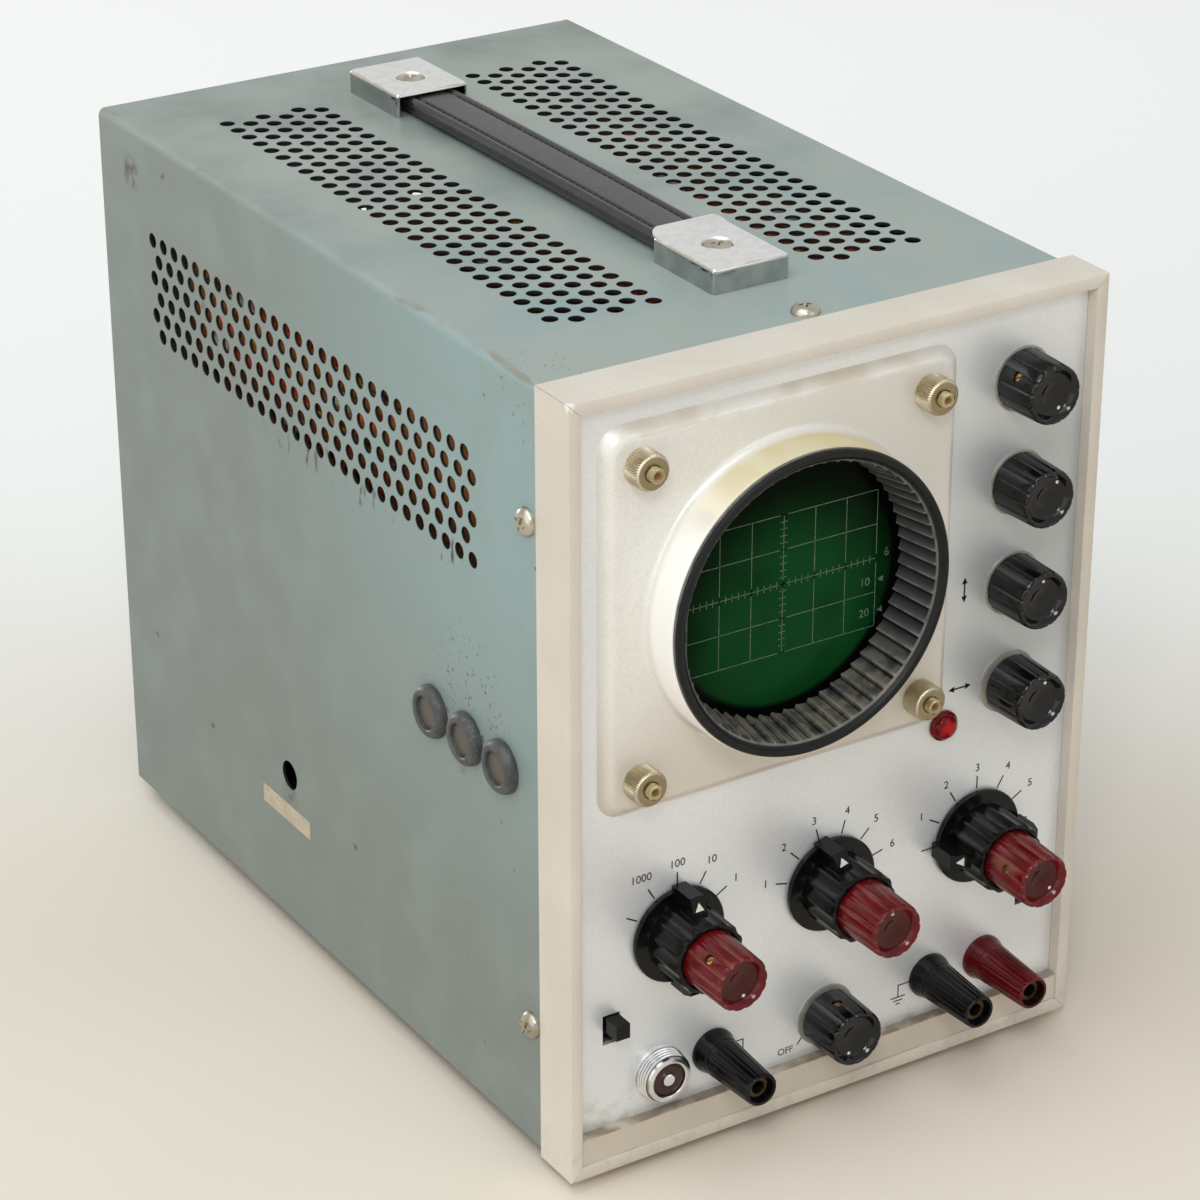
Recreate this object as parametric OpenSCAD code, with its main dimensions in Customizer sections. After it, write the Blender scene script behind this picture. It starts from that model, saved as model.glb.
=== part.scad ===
// Bench oscilloscope with a round screen. Millimetres, +Z up, the front faces -Y.
// The pieces are drawn with X = 0 at the middle of the bezel, Y = 0 at its front lip and
// Z = 0 at its underside. place() then sets the origin on the floor under the middle of the part.

/* [Bezel and panel] */
// Outside width of the bezel frame
bezel_w = 170; // [164:1:200]
// Outside height of the bezel frame
bezel_h = 230; // [216:1:260]
// Depth of the bezel frame, from its lip to its back face
bezel_d = 16; // [14:0.5:24]
// Thickness of the bezel's top and side bars
bar_t = 3.8; // [3:0.2:6]
// Thickness of the bezel's bottom bar
sill_t = 4; // [3:0.2:6]
// Set-back of the front panel behind the bezel's lip
panel_recess = 3.8; // [3:0.1:5]
// Thickness of the front panel
panel_t = 1.5; // [1:0.1:2.5]
// Width of the ledge behind the panel's edge
ledge_w = 3.5; // [2.5:0.5:7]
// Length of the spigot that the cover slides over
spigot_l = 10; // [9:0.5:16]
// Wall of the spigot
spigot_t = 2; // [1.5:0.1:2.4]
// Height of the plain strip on the sill
strip_h = 8.3; // [6:0.1:10]
// Set-back of the strip behind the bezel's lip
strip_set = 0.5; // [0.2:0.1:1.5]

/* [Cover] */
// Length of the cover behind the bezel
cover_d = 251.5; // [230:0.5:300]
// Step between the bezel and the cover on the right
cover_step = 3.6; // [3:0.1:5]
// Height of the cover's lower edge above the bezel's underside
cover_lift = 3; // [2:0.1:4]
// Thickness of the cover's sheet
sheet_t = 1; // [0.8:0.1:1.5]
// Outside radius of the cover's two bends
bend_r = 2.2; // [2:0.1:4]
// Depth of the rear panel inside the cover's back edge
rear_recess = 12; // [11:0.5:20]
// Thickness of the bottom plate and the rear panel
plate_t = 1.2; // [1:0.1:2]
// Height of the bottom plate's upturned edges
tray_h = 12; // [8:0.5:16]
// Depth of the rear panel's side flanges
rear_flange = 10; // [6:0.5:16]

/* [Vents] */
// Diameter of a vent hole
vent_d = 4.6; // [3:0.1:5]
// Distance between holes along a row
vent_pitch = 7.03; // [6:0.01:8]
// Distance between rows
vent_row_pitch = 5.94; // [5.5:0.01:7]
// Rows in each patch
vent_rows = 6; // [4:1:6]
// Plain margin at the front and back of each patch
vent_margin = 32.1; // [20:0.1:50]
// From the cover's middle to the nearest row on its top
vent_top_start = 27.2; // [24:0.1:34]
// From the cover's top to the first row on its sides
vent_side_drop = 31.5; // [20:0.1:40]

/* [Screws and plugs] */
// Diameter of a cover screw's shank
screw_d = 4; // [3:0.1:5]
// Diameter of a cover screw's head
screw_head_d = 8; // [7:0.1:9]
// Height of a cover screw's head
screw_head_h = 2.4; // [2:0.1:3]
// From the cover's front edge to its screws
screw_inset = 4.2; // [3.5:0.1:5]
// Heights of the side screws above the bezel's underside
side_screw_z = [40.5, 191]; // [20:0.5:200]
// Diameter of a blanking plug
plug_d = 15.5; // [14:0.1:18]
// Diameter of a blanking plug's hole
plug_hole_d = 12.6; // [10:0.1:13]
// Height of a blanking plug above the cover
plug_h = 3.4; // [1.5:0.1:4]
// From the end of the bezel's spigot to the first plug
plug_inset = 7.4; // [7:0.1:22]
// Distance between plugs
plug_pitch = 18.6; // [18.1:0.1:22]
// Height of the plugs above the bezel's underside
plug_rise = 114.3; // [100:0.1:125]
// Diameter of the adjuster hole
adjust_d = 9.2; // [6:0.1:12]
// From the cover's front edge to the adjuster hole
adjust_inset = 143.2; // [110:0.1:170]
// Height of the adjuster hole above the bezel's underside
adjust_rise = 53.1; // [40:0.1:70]

/* [Handle] */
// Width of a handle cap
cap_w = 24.3; // [22:0.1:30]
// Length of a handle cap
cap_l = 29.6; // [26:0.1:40]
// Height of a handle cap
cap_h = 7.2; // [7:0.1:10]
// Sheet of a handle cap
cap_t = 1; // [0.8:0.1:1.4]
// From the cover's front and back edges to the caps
handle_inset = 26.4; // [20:0.1:40]
// From a cap's closed end to its screw
cap_screw_inset = 16.4; // [14:0.1:18]
// Width of the strap
strap_w = 17.5; // [14:0.1:19]
// Thickness of the strap
strap_t = 4.5; // [3:0.1:4.8]
// Gap under the strap
strap_gap = 1.2; // [0.8:0.1:1.4]

/* [Feet] */
// Diameter of a foot
foot_d = 18; // [14:0.5:24]
// Height of a foot under the bottom plate
foot_h = 7; // [5:0.5:15]
// From the cover's sides to the feet
foot_side = 24; // [16:0.5:40]
// From the cover's ends to the feet
foot_end = 30; // [24:0.5:60]

/* [Screen] */
// Width and height of the screen surround
surround_w = 112; // [108:0.5:116]
// From the panel's left edge to the surround
surround_side = 6.7; // [4:0.1:9]
// From the panel's top edge to the surround
surround_top = 6.3; // [4:0.1:10]
// Height of the surround's face above the panel
surround_h = 3.5; // [3:0.1:7]
// How far the surround's sloping wall leans in
surround_slope = 2.9; // [1:0.1:5]
// Corner radius of the surround
surround_r = 7; // [5.5:0.5:10]
// Outside radius of the round collar
collar_r = 43.5; // [43:0.1:45]
// Wall of the round collar
collar_t = 2.1; // [1.6:0.1:3]
// Height of the collar above the surround's face
collar_h = 12.3; // [8:0.1:16]
// Radius of the fillet at the foot of the collar
collar_fillet = 2; // [1:0.1:3]
// Thickness of the hood ring's front lip
hood_lip = 2.2; // [1.5:0.1:3]
// Inside radius of the hood ring's front lip
hood_lip_r = 39.3; // [39:0.1:40]
// Radius to the tips of the hood's inner ribs
hood_tip_r = 37; // [36:0.1:38]
// Depth of the hood's inner ribs
hood_rib = 1.3; // [0.6:0.1:1.5]
// Ribs inside the hood
hood_ribs = 60; // [36:1:72]
// Thickness of the green filter
filter_t = 2.5; // [1.5:0.1:3]
// Distance between the surround's studs
stud_pitch = 90.1; // [88:0.1:92]
// Diameter of a stud
stud_d = 4.4; // [3:0.1:5]
// Diameter of a thumb nut
nut_d = 10.4; // [9:0.1:12]
// Length of a thumb nut
nut_l = 6.2; // [4:0.1:8]
// Length of stud that stands out of a nut
stud_out = 2; // [1:0.1:3]
// Teeth of a nut's knurl
nut_teeth = 56; // [24:1:64]
// Radius of the picture tube's bulb
bulb_r = 38; // [36:0.1:39]
// Radius of the picture tube's neck
neck_r = 20; // [15:0.5:24]
// Length of the picture tube, without its base
tube_l = 205; // [170:1:215]
// Wall of the tube's screen can
can_t = 1; // [0.8:0.1:1.5]

/* [Small knobs] */
// Radius of a small knob at its back
knob_r = 8.9; // [8.5:0.1:10]
// Taper of a knob, from back to front
knob_taper = 0.4; // [0:0.1:1]
// Length of a small knob
knob_l = 14.2; // [12:0.1:18]
// Flutes round a small knob
knob_flutes = 15; // [10:1:18]
// Radius of the recess in a knob's front
dish_r = 6.15; // [5:0.05:6.5]
// Depth of that recess
dish_d = 1.2; // [0.6:0.1:2]
// From the middle of the space beside the surround to the knob column
column_side = 0.65; // [-1.85:0.05:3.15]
// From the panel's top edge to the first knob
column_top = 22.4; // [20:0.1:26]
// Distance between the knobs in the column
column_pitch = 30.3; // [28:0.1:31]
// Rest angles of the column's knobs, clockwise from the top
column_turn = [150, 43, 9, 24]; // [-150:1:150]
// How far each of the column's knobs is drawn out along its shaft
column_lift = [0, 0, 0, 1.5]; // [0:0.1:2]
// Height of the foot knob above the bezel's underside
foot_knob_rise = 23.8; // [22:0.1:26]
// Rest angle of the foot knob, clockwise from the top
foot_knob_turn = -163; // [-165:1:150]
// How far the foot knob is drawn out along its shaft
foot_knob_lift = 1.3; // [0:0.1:2]

/* [Dual controls] */
// Radius of a pointer knob's skirt
skirt_r = 14.35; // [13:0.05:16]
// Thickness of the skirt
skirt_t = 1.5; // [1:0.1:2.5]
// Radius of a pointer knob's fluted body
pointer_r = 10.75; // [10.5:0.05:12]
// Length of a pointer knob
pointer_l = 16.4; // [14:0.1:20]
// Width of the pointer bar
bar_w = 4.4; // [3:0.1:6]
// Reach of the pointer bar from its axis
bar_reach = 15.5; // [15:0.1:18]
// Length of the pointer bar along the axis
bar_l = 11.3; // [8:0.1:13]
// Flutes round a pointer knob
pointer_flutes = 15; // [12:1:18]
// Radius of a red knob at its back
red_r = 8.5; // [7.5:0.05:8.6]
// Length of a red knob
red_l = 17; // [14:0.1:22]
// Flutes round a red knob
red_flutes = 14; // [12:1:20]
// From the panel's left edge to the first dual control
dual_left = 32.15; // [31:0.05:36]
// From the panel's right edge to the last dual control
dual_right = 29.95; // [29:0.05:34]
// Height of the dual controls above the bezel's underside
dual_rise = 66.6; // [62:0.1:70]
// Rest angles of the pointers, clockwise from the top
pointer_turn = [0, -15, -90]; // [-90:15:90]
// Rest angles of the red knobs, clockwise from the top
red_turn = [163, -5, 137]; // [-165:1:165]

/* [Slide switches] */
// Width of a switch slot
slot_w = 5.5; // [5:0.1:7]
// Height of a switch slot
slot_h = 9.2; // [8.6:0.1:12]
// Width of a lever
lever_w = 4.3; // [3:0.1:4.6]
// Height of a lever
lever_h = 4.5; // [3.5:0.1:4.8]
// How far a lever stands out of the panel
lever_out = 6.1; // [4:0.1:9]
// From the panel's side edges to the slots
slide_side = 11.3; // [10.7:0.1:14]
// Height of the slots' middle above the bezel's underside
slide_rise = 42.9; // [40:0.1:46]

/* [Sockets] */
// Diameter of the coaxial socket's thread
coax_d = 15.9; // [14:0.1:16]
// How far the coaxial socket stands out of the panel
coax_out = 5.3; // [4:0.1:9]
// Radius of the coaxial insulator
coax_core_r = 5.07; // [4:0.01:5.5]
// Radius of the coaxial contact
coax_pin_r = 1.9; // [1:0.1:2.5]
// From the panel's left edge to the coaxial socket
coax_side = 26.9; // [25:0.1:29]
// Height of the coaxial socket above the bezel's underside
coax_rise = 23.7; // [22:0.1:26]
// Diameter of the sockets in the binding posts
jack_d = 4; // [3.5:0.05:4.2]
// Depth of those sockets
jack_l = 12; // [8:0.5:14]
// Radius of a post's stud
post_r = 3; // [2.7:0.05:3.1]
// Radius of a post's collar at the panel
flare_r = 6.8; // [6.4:0.1:7.5]
// Length of a post's collar
flare_l = 5; // [4:0.1:7]
// Radius of a post's cap at its back
post_cap_r = 5.9; // [5.5:0.05:6.3]
// Radius of a post's cap at its front
post_tip_r = 4.85; // [4.6:0.05:5.4]
// Length of a post's cap
post_cap_l = 19.1; // [16:0.1:24]
// Depth of the recess in a cap's end
post_dish = 2.1; // [1:0.1:3]
// Flutes round a post's cap
post_flutes = 20; // [12:1:20]
// From the coaxial socket to the post beside it
coax_post_gap = 17.5; // [16.5:0.05:22]
// From the panel's right edge to the red post
red_post_side = 25.2; // [24:0.1:28]
// Distance between the paired posts
post_pitch = 19.05; // [19:0.05:22]
// Height of the posts above the bezel's underside
post_rise = 24.9; // [23:0.1:27]

/* [Pilot lamp] */
// Radius of the lamp's flange
lamp_flange_r = 4.47; // [4:0.01:5]
// Radius of the lamp's lens
lens_r = 3.72; // [3.4:0.01:4]
// How far the lens stands out of the panel
lens_out = 3.5; // [2:0.1:5]
// From the surround's right edge to the lamp
lamp_side = 0.8; // [0:0.1:2]
// From the surround's lower edge to the lamp
lamp_drop = 2.9; // [2:0.1:6]

/* [Inside] */
// Height of the inner deck above the bezel's underside
deck_z = 88; // [84:0.5:92]
// Sheet of the inner deck
deck_t = 1.5; // [1:0.1:2.5]
// From the bezel's lip to the deck's front edge
deck_front = 60; // [56:1:80]
// From the cover's sides to the deck's legs
deck_side = 9; // [5:0.5:14]
// Radius of a small potentiometer
pot_r = 9; // [8:0.1:11]
// Depth of a small potentiometer
pot_d = 12; // [9:0.1:16]
// Radius of a rotary switch
rotary_r = 16; // [12:0.1:16.5]
// Depth of a rotary switch
rotary_d = 30; // [24:0.5:40]
// Depth of the potentiometer behind a rotary switch
rear_pot_d = 12; // [9:0.1:14]
// Diameter of the potentiometers' shafts
shaft_d = 6; // [5:0.1:6.35]
// Wall of the pointer knobs' hollow shafts
hollow_t = 0.95; // [0.7:0.05:1.1]
// Width, depth and height of the transformer's core
core_size = [54, 40, 58]; // [30:1:60]
// Radius and height of a valve
valve_size = [10.5, 46]; // [8:0.5:60]
// Width and height of the circuit board
board_size = [150, 60]; // [40:1:170]

/* [Fits] */
// Play between a turning shaft and its bore, on the radius
run_play = 0.05; // [0.02:0.01:0.08]
// Gap round a piece that is dropped or slid into place
seat_gap = 0.15; // [0.1:0.05:0.25]
// Gap between a moving control and the panel
panel_gap = 0.4; // [0.3:0.05:0.6]

/* [Hidden] */
$fn = 48;
// Overshoot of a cut past the face that it opens
over = 1;
half_turn = 180;

// Planes and edges of the front
panel_back = panel_recess + panel_t;
panel_half = bezel_w / 2 - bar_t;
panel_top = bezel_h - bar_t;
control_y = panel_recess - panel_gap;

// Edges of the cover and of the space inside it
cover_x0 = -bezel_w / 2;
cover_x1 = bezel_w / 2 - cover_step;
cover_mid = (cover_x0 + cover_x1) / 2;
cover_y1 = bezel_d + cover_d;
inner_x0 = cover_x0 + sheet_t + seat_gap;
inner_x1 = cover_x1 - sheet_t - seat_gap;
inner_z0 = cover_lift + plate_t;
inner_z1 = bezel_h - sheet_t - seat_gap;
spigot_z0 = inner_z0 + seat_gap;
spigot_y1 = bezel_d + spigot_l;
bend_in_r = bend_r - sheet_t;
rear_y1 = cover_y1 - rear_recess;
rear_y0 = rear_y1 - plate_t;

// Screw and plug places
screw_r = screw_d / 2;
screw_hole_r = screw_r + seat_gap;
screw_y = bezel_d + screw_inset;
screw_length = 7;
plug_y = [for (i = [0 : 2]) spigot_y1 + plug_inset + i * plug_pitch];
foot_x = [cover_x0 + foot_side, cover_x1 - foot_side];
foot_y = [bezel_d + foot_end, cover_y1 - foot_end];

// Handle places, each cap given by its closed end and the way it opens
cap_ends = [[bezel_d + handle_inset, 1], [cover_y1 - handle_inset, -1]];
strap_z = bezel_h + strap_gap;
cap_dimple_r = 4.2;
cap_dimple_d = 1.6;
cap_boss_wall = 0.4;
cap_boss_r = cap_dimple_r + cap_boss_wall;
cap_boss_floor = 0.8;
cap_boss_z = bezel_h + cap_h - cap_dimple_d - cap_boss_floor;
handle_head_r = 3;
foot_edge = 1;
foot_recess_gap = 0.5;
foot_recess_d = screw_head_h + 1;

// Screen places and planes
screen_x = -panel_half + surround_side + surround_w / 2;
screen_z = panel_top - surround_top - surround_w / 2;
face_y = panel_recess - surround_h;
collar_y = face_y - collar_h;
collar_in_r = collar_r - collar_t;
hood_y = collar_y - hood_lip;
hood_sleeve_r = collar_in_r - seat_gap;
filter_y = panel_recess - filter_t;
filter_lap = 1.2;
filter_r = collar_in_r + filter_lap;
hood_set = 0.5;
hood_gap = 0.1;
bulb_gap = 0.5;
bulb_y = panel_recess + bulb_gap;
can_gap = 0.6;
can_r = bulb_r + can_gap;
can_neck_r = neck_r + can_gap;
can_hole_gap = 1;
can_flange = 7;
face_crown = 0.8;
face_edge = 4;
bulb_straight = 36;
bulb_cone = 80;
base_l = 12;
base_step = 2;
can_short = 15;
can_l = tube_l - can_short;
stud_head_t = 3;
stud_places = [
  for (sx = [-1, 1], sz = [-1, 1]) [screen_x + sx * stud_pitch / 2, screen_z + sz * stud_pitch / 2]
];

// Knob places, each [x, z]
column_x = (screen_x + surround_w / 2 + panel_half) / 2 + column_side;
column_places = [for (i = [0 : 3]) [column_x, panel_top - column_top - i * column_pitch]];
dual_x0 = -panel_half + dual_left;
dual_x1 = panel_half - dual_right;
dual_x = [dual_x0, (dual_x0 + dual_x1) / 2, dual_x1];
foot_knob_place = [dual_x[1], foot_knob_rise];
small_places = concat(column_places, [foot_knob_place]);
small_turns = concat(column_turn, [foot_knob_turn]);
small_lifts = concat(column_lift, [foot_knob_lift]);

// Shafts, bushes and the nuts that hold them
shaft_r = shaft_d / 2;
hollow_r = shaft_r + run_play + hollow_t;
small_bush_r = shaft_r + 1.5;
dual_bush_r = hollow_r + 2;
bush_out = 3.2;
bush_nut_t = 2.2;
small_nut_flats = 12;
dual_nut_flats = 15;
nut_cavity_gap = 0.5;
small_cavity_r = small_nut_flats / sqrt(3) + nut_cavity_gap;
dual_cavity_r = dual_nut_flats / sqrt(3) + nut_cavity_gap;
cavity_y = panel_recess - bush_out - nut_cavity_gap;
knob_y = control_y - knob_l;
pointer_y = control_y - pointer_l;
pointer_dish = 2;
red_y0 = pointer_y + pointer_dish - panel_gap;
red_y = red_y0 - red_l;
knob_wall = 3;
edge_r = 0.7;
rim_r = 1;
grub_r = 1.2;
grub_l = 3.5;
shaft_end_gap = 0.2;
rotary_bore_l = 18;
shaft_in_pot = 8;

// Slide switches
slide_x = [-panel_half + slide_side, panel_half - slide_side];
slide_gap = 0.35;
slide_travel = slot_h - lever_h - 2 * slide_gap;
lever_z0 = slide_rise + slot_h / 2 - slide_gap - lever_h;
slider_margin = 1.5;
slider_h = lever_h + 2 * slider_margin;
slider_w = slot_w + 2;
slider_t = 3;
slide_wall = 1.2;

// Socket places, each [x, z]
coax_place = [-panel_half + coax_side, coax_rise];
red_post_x = panel_half - red_post_side;
post_x = [coax_place[0] + coax_post_gap, red_post_x - post_pitch, red_post_x];
post_places = [for (x = post_x) [x, post_rise]];
coax_y = panel_recess - coax_out;
coax_tail_wall = 1.2;
coax_tail_r = coax_core_r + coax_tail_wall;
coax_tail_l = 9;
coax_tail_y = panel_back + coax_tail_l;
coax_core_set = 0.5;
coax_pin_set = 0.3;
coax_pin_tail = 3;
flare_y = panel_recess - flare_l;
post_cap_y0 = flare_y - panel_gap / 2;
post_cap_y1 = post_cap_y0 - post_cap_l;
post_dish_gap = 0.9;
post_dish_r = post_r + post_dish_gap;
stud_y = post_cap_y1 + post_dish;
stud_tail_l = 10;
stud_back = panel_back + stud_tail_l;
post_nut_t = 2.5;
post_nut_flats = 10;
lamp_place = [screen_x + surround_w / 2 + lamp_side, screen_z - surround_w / 2 - lamp_drop];
lamp_stem_wall = 0.6;
lamp_stem_r = lens_r - lamp_stem_wall;
lamp_tail = 3;

// Deck and what stands on it
deck_x0 = cover_x0 + deck_side;
deck_x1 = cover_x1 - deck_side;
deck_top = deck_z + deck_t;
saddle_back = 62;
saddle_half = 16;
saddle_t = 3;
saddle_dip = 12;
saddle_y = rear_y0 - saddle_back;
coil_wrap = 8;
core_side = 3;
core_back = 16;
core_x = deck_x1 - core_size[0] - core_side;
core_y = rear_y0 - core_size[1] - core_back;
valve_inset = 14;
valve_pitch = 30;
valve_x = deck_x1 - valve_inset;
valve_y = [for (i = [0 : 3]) deck_front + valve_inset + i * valve_pitch];
valve_base = [1, 6];
board_t = 1.6;
board_inset = 12;
board_x = deck_x0 + board_inset;
board_y = deck_front + board_inset;
part_count = 6;
part_size = [9, 14, 22];
inlet_side = 40;
inlet_rise = 46;
fuse_place = [cover_x1 - inlet_side, inlet_rise];
gland_place = [cover_x0 + inlet_side, inlet_rise];
fuse_r = 6;
fuse_tail = 20;
fuse_cap = 10;
gland_r = 6.5;
gland_bore_r = 3.8;
gland_lip = 2;
gland_lip_t = 2.5;
rear_vents = [9, 6];
rear_vent_pitch = 9;
tray_gap = 1;

// Bounds of the whole part, and the move that puts its origin on the floor under its middle
low_z = cover_lift - foot_h;
low_x = cover_x0 - max(plug_h, screw_head_h);
high_x = max(bezel_w / 2, cover_x1 + screw_head_h);
mid_x = (low_x + high_x) / 2;
mid_y = (min(red_y, hood_y, post_cap_y1) + cover_y1) / 2;

// Moves everything from the bezel's own frame to the part's origin
module place() {
  translate([-mid_x, -mid_y, -low_z]) children();
}

// A flat shape drawn in X and Z, as a sheet from y to y + t
module standing(y, t) {
  translate([0, y + t, 0]) rotate([90, 0, 0]) linear_extrude(t) children();
}

// A profile drawn as [radius, y], spun round an axis along Y
module spun(place_xz) {
  translate([place_xz[0], 0, place_xz[1]]) rotate([-90, 0, 0]) rotate_extrude() children();
}

// A round bar along Y
module rod(place_xz, y0, y1, r) {
  translate([place_xz[0], y0, place_xz[1]]) rotate([-90, 0, 0]) cylinder(r = r, h = y1 - y0);
}

// A box between two corners
module block(low, high) {
  translate(low) cube(high - low);
}

// A square with round corners
module round_square(w, h, r) {
  square([w - 2 * r, h], center = true);
  square([w, h - 2 * r], center = true);
  for (sx = [-1, 1], sy = [-1, 1]) translate([sx * (w / 2 - r), sy * (h / 2 - r)]) circle(r);
}

// A hexagon nut on an axis along Y
module hex_nut(place_xz, y0, y1, flats, hole_r) {
  difference() {
    translate([place_xz[0], y0, place_xz[1]]) rotate([-90, 0, 0])
      cylinder(r = flats / sqrt(3), h = y1 - y0, $fn = 6);
    rod(place_xz, y0 - over, y1 + over, hole_r);
  }
}

// Bars evenly round an axis along Y, for cutting flutes from y0 forwards, leaning in with a taper
module flute_cuts(place_xz, y0, length, ring_r, cut_r, count, turn, lean = 0) {
  for (i = [0 : count - 1])
    translate([place_xz[0], y0, place_xz[1]]) rotate([0, turn + (i + 0.5) * 360 / count, 0])
      translate([0, 0, ring_r]) rotate([90, 0, 0]) rotate([lean, 0, 0]) cylinder(r = cut_r, h = length);
}

// A short radial bar, turned clockwise from the top
module radial_bar(place_xz, y, turn, r0, r1, r) {
  translate([place_xz[0], y, place_xz[1]]) rotate([0, turn, 0]) translate([0, 0, r0])
    cylinder(r = r, h = r1 - r0);
}

// The bezel: front frame, ledge behind the panel, and the spigot inside the cover
module bezel_frame() {
  color("antiquewhite") place() difference() {
    union() {
      block([-bezel_w / 2, 0, 0], [bezel_w / 2, bezel_d, bezel_h]);
      standing(bezel_d, spigot_l) spigot_outline();
    }
    block([-panel_half, -over, sill_t], [panel_half, panel_back, panel_top]);
    block(
      [-panel_half + ledge_w, 0, sill_t + ledge_w],
      [panel_half - ledge_w, bezel_d, panel_top - ledge_w]
    );
    block(
      [inner_x0 + spigot_t, bezel_d, spigot_z0 + spigot_t],
      [inner_x1 - spigot_t, spigot_y1 + over, inner_z1 - spigot_t]
    );
    cover_screw_lines(screw_hole_r);
  }
}

// The outside of the spigot, with corners cut to clear the cover's bends
module spigot_outline() {
  polygon([
    [inner_x0, spigot_z0], [inner_x1, spigot_z0], [inner_x1, inner_z1 - bend_in_r],
    [inner_x1 - bend_in_r, inner_z1], [inner_x0 + bend_in_r, inner_z1], [inner_x0, inner_z1 - bend_in_r]
  ]);
}

// The lines of the screws that hold the cover's front edge
module cover_screw_lines(r) {
  translate([0, screw_y, bezel_h - screw_length - over]) cylinder(r = r, h = screw_length + 2 * over);
  for (z = side_screw_z)
    translate([-bezel_w, screw_y, z]) rotate([0, 90, 0]) cylinder(r = r, h = 2 * bezel_w);
}

module sill_strip() {
  color("antiquewhite") place()
    block(
      [-panel_half + seat_gap, strip_set, sill_t],
      [panel_half - seat_gap, panel_recess, sill_t + strip_h]
    );
}

// The outline of the panel's openings, in X and Z
module panel_openings() {
  translate([screen_x, screen_z]) circle(can_r + can_hole_gap);
  for (p = stud_places) translate(p) circle(stud_d / 2 + seat_gap);
  for (p = small_places) translate(p) circle(small_bush_r + seat_gap);
  for (x = dual_x) translate([x, dual_rise]) circle(dual_bush_r + seat_gap);
  for (x = slide_x) translate([x, slide_rise]) square([slot_w, slot_h], center = true);
  translate(coax_place) circle(coax_tail_r + seat_gap);
  for (p = post_places) translate(p) circle(post_r + seat_gap);
  translate(lamp_place) circle(lamp_stem_r + seat_gap);
}

module front_panel() {
  color("gainsboro") place() standing(panel_recess, panel_t) difference() {
    translate([-panel_half + seat_gap, sill_t + seat_gap])
      square([2 * (panel_half - seat_gap), panel_top - sill_t - 2 * seat_gap]);
    panel_openings();
  }
}

// Staggered rows of vent holes along the second axis, spread over the cover's length
module vent_patch(first) {
  holes = floor((cover_d - 2 * vent_margin - vent_pitch / 2) / vent_pitch) + 1;
  for (row = [0 : vent_rows - 1], i = [0 : holes - 1])
    translate([first + row * vent_row_pitch, vent_margin + (i + 0.5 * ((row + 1) % 2)) * vent_pitch])
      circle(vent_d / 2, $fn = 24);
}

// The flat part of one side of the cover, in Y and Z, laid down as [z, y]
module side_flat(has_plugs) {
  difference() {
    translate([cover_lift, 0]) square([bezel_h - bend_r - cover_lift, cover_d]);
    translate([bezel_h, 0]) mirror([1, 0]) vent_patch(vent_side_drop);
    for (z = side_screw_z) translate([z, screw_inset]) circle(screw_hole_r);
    if (has_plugs) {
      for (y = plug_y) translate([plug_rise, y - bezel_d]) circle(plug_hole_d / 2);
      translate([adjust_rise, adjust_inset]) circle(adjust_d / 2);
    }
  }
}

// The flat top of the cover, in X and Y
module top_flat() {
  difference() {
    translate([cover_x0 + bend_r, 0]) square([cover_x1 - cover_x0 - 2 * bend_r, cover_d]);
    translate([cover_mid - vent_top_start - (vent_rows - 1) * vent_row_pitch, 0]) vent_patch(0);
    translate([cover_mid + vent_top_start, 0]) vent_patch(0);
    translate([0, screw_inset]) circle(screw_hole_r);
    for (end = cap_ends)
      translate([cover_mid, end[0] + end[1] * cap_screw_inset - bezel_d]) circle(screw_hole_r);
  }
}

// One rounded bend of the cover, for its left edge
module cover_bend() {
  translate([cover_x0 + bend_r, bezel_d, bezel_h - bend_r]) rotate([-90, 0, 0]) linear_extrude(cover_d)
    difference() {
      intersection() {
        circle(bend_r);
        translate([-bend_r, -bend_r]) square(bend_r);
      }
      circle(bend_r - sheet_t);
    }
}

// Lays a [z, y] drawing upright, with its thickness along +X
module upright(x) {
  translate([x, bezel_d, 0]) multmatrix([[0, 0, 1, 0], [0, 1, 0, 0], [1, 0, 0, 0], [0, 0, 0, 1]])
    linear_extrude(sheet_t) children();
}

module wrap_cover() {
  color("cadetblue") place() union() {
    translate([0, bezel_d, bezel_h - sheet_t]) linear_extrude(sheet_t) top_flat();
    upright(cover_x0) side_flat(true);
    upright(cover_x1 - sheet_t) side_flat(false);
    cover_bend();
    translate([2 * cover_mid, 0, 0]) mirror([1, 0, 0]) cover_bend();
  }
}

// The bottom plate, with upturned edges behind the spigot
module bottom_plate() {
  tray_y0 = spigot_y1 + tray_gap;
  color("darkgray") place() difference() {
    union() {
      block([inner_x0, bezel_d, cover_lift], [inner_x1, cover_y1 - tray_gap, inner_z0]);
      for (x = [inner_x0, inner_x1 - plate_t])
        block([x, tray_y0, cover_lift], [x + plate_t, rear_y1, cover_lift + tray_h]);
    }
    for (x = foot_x, y = foot_y) translate([x, y, 0]) cylinder(r = screw_hole_r, h = inner_z0 + over);
  }
}

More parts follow.
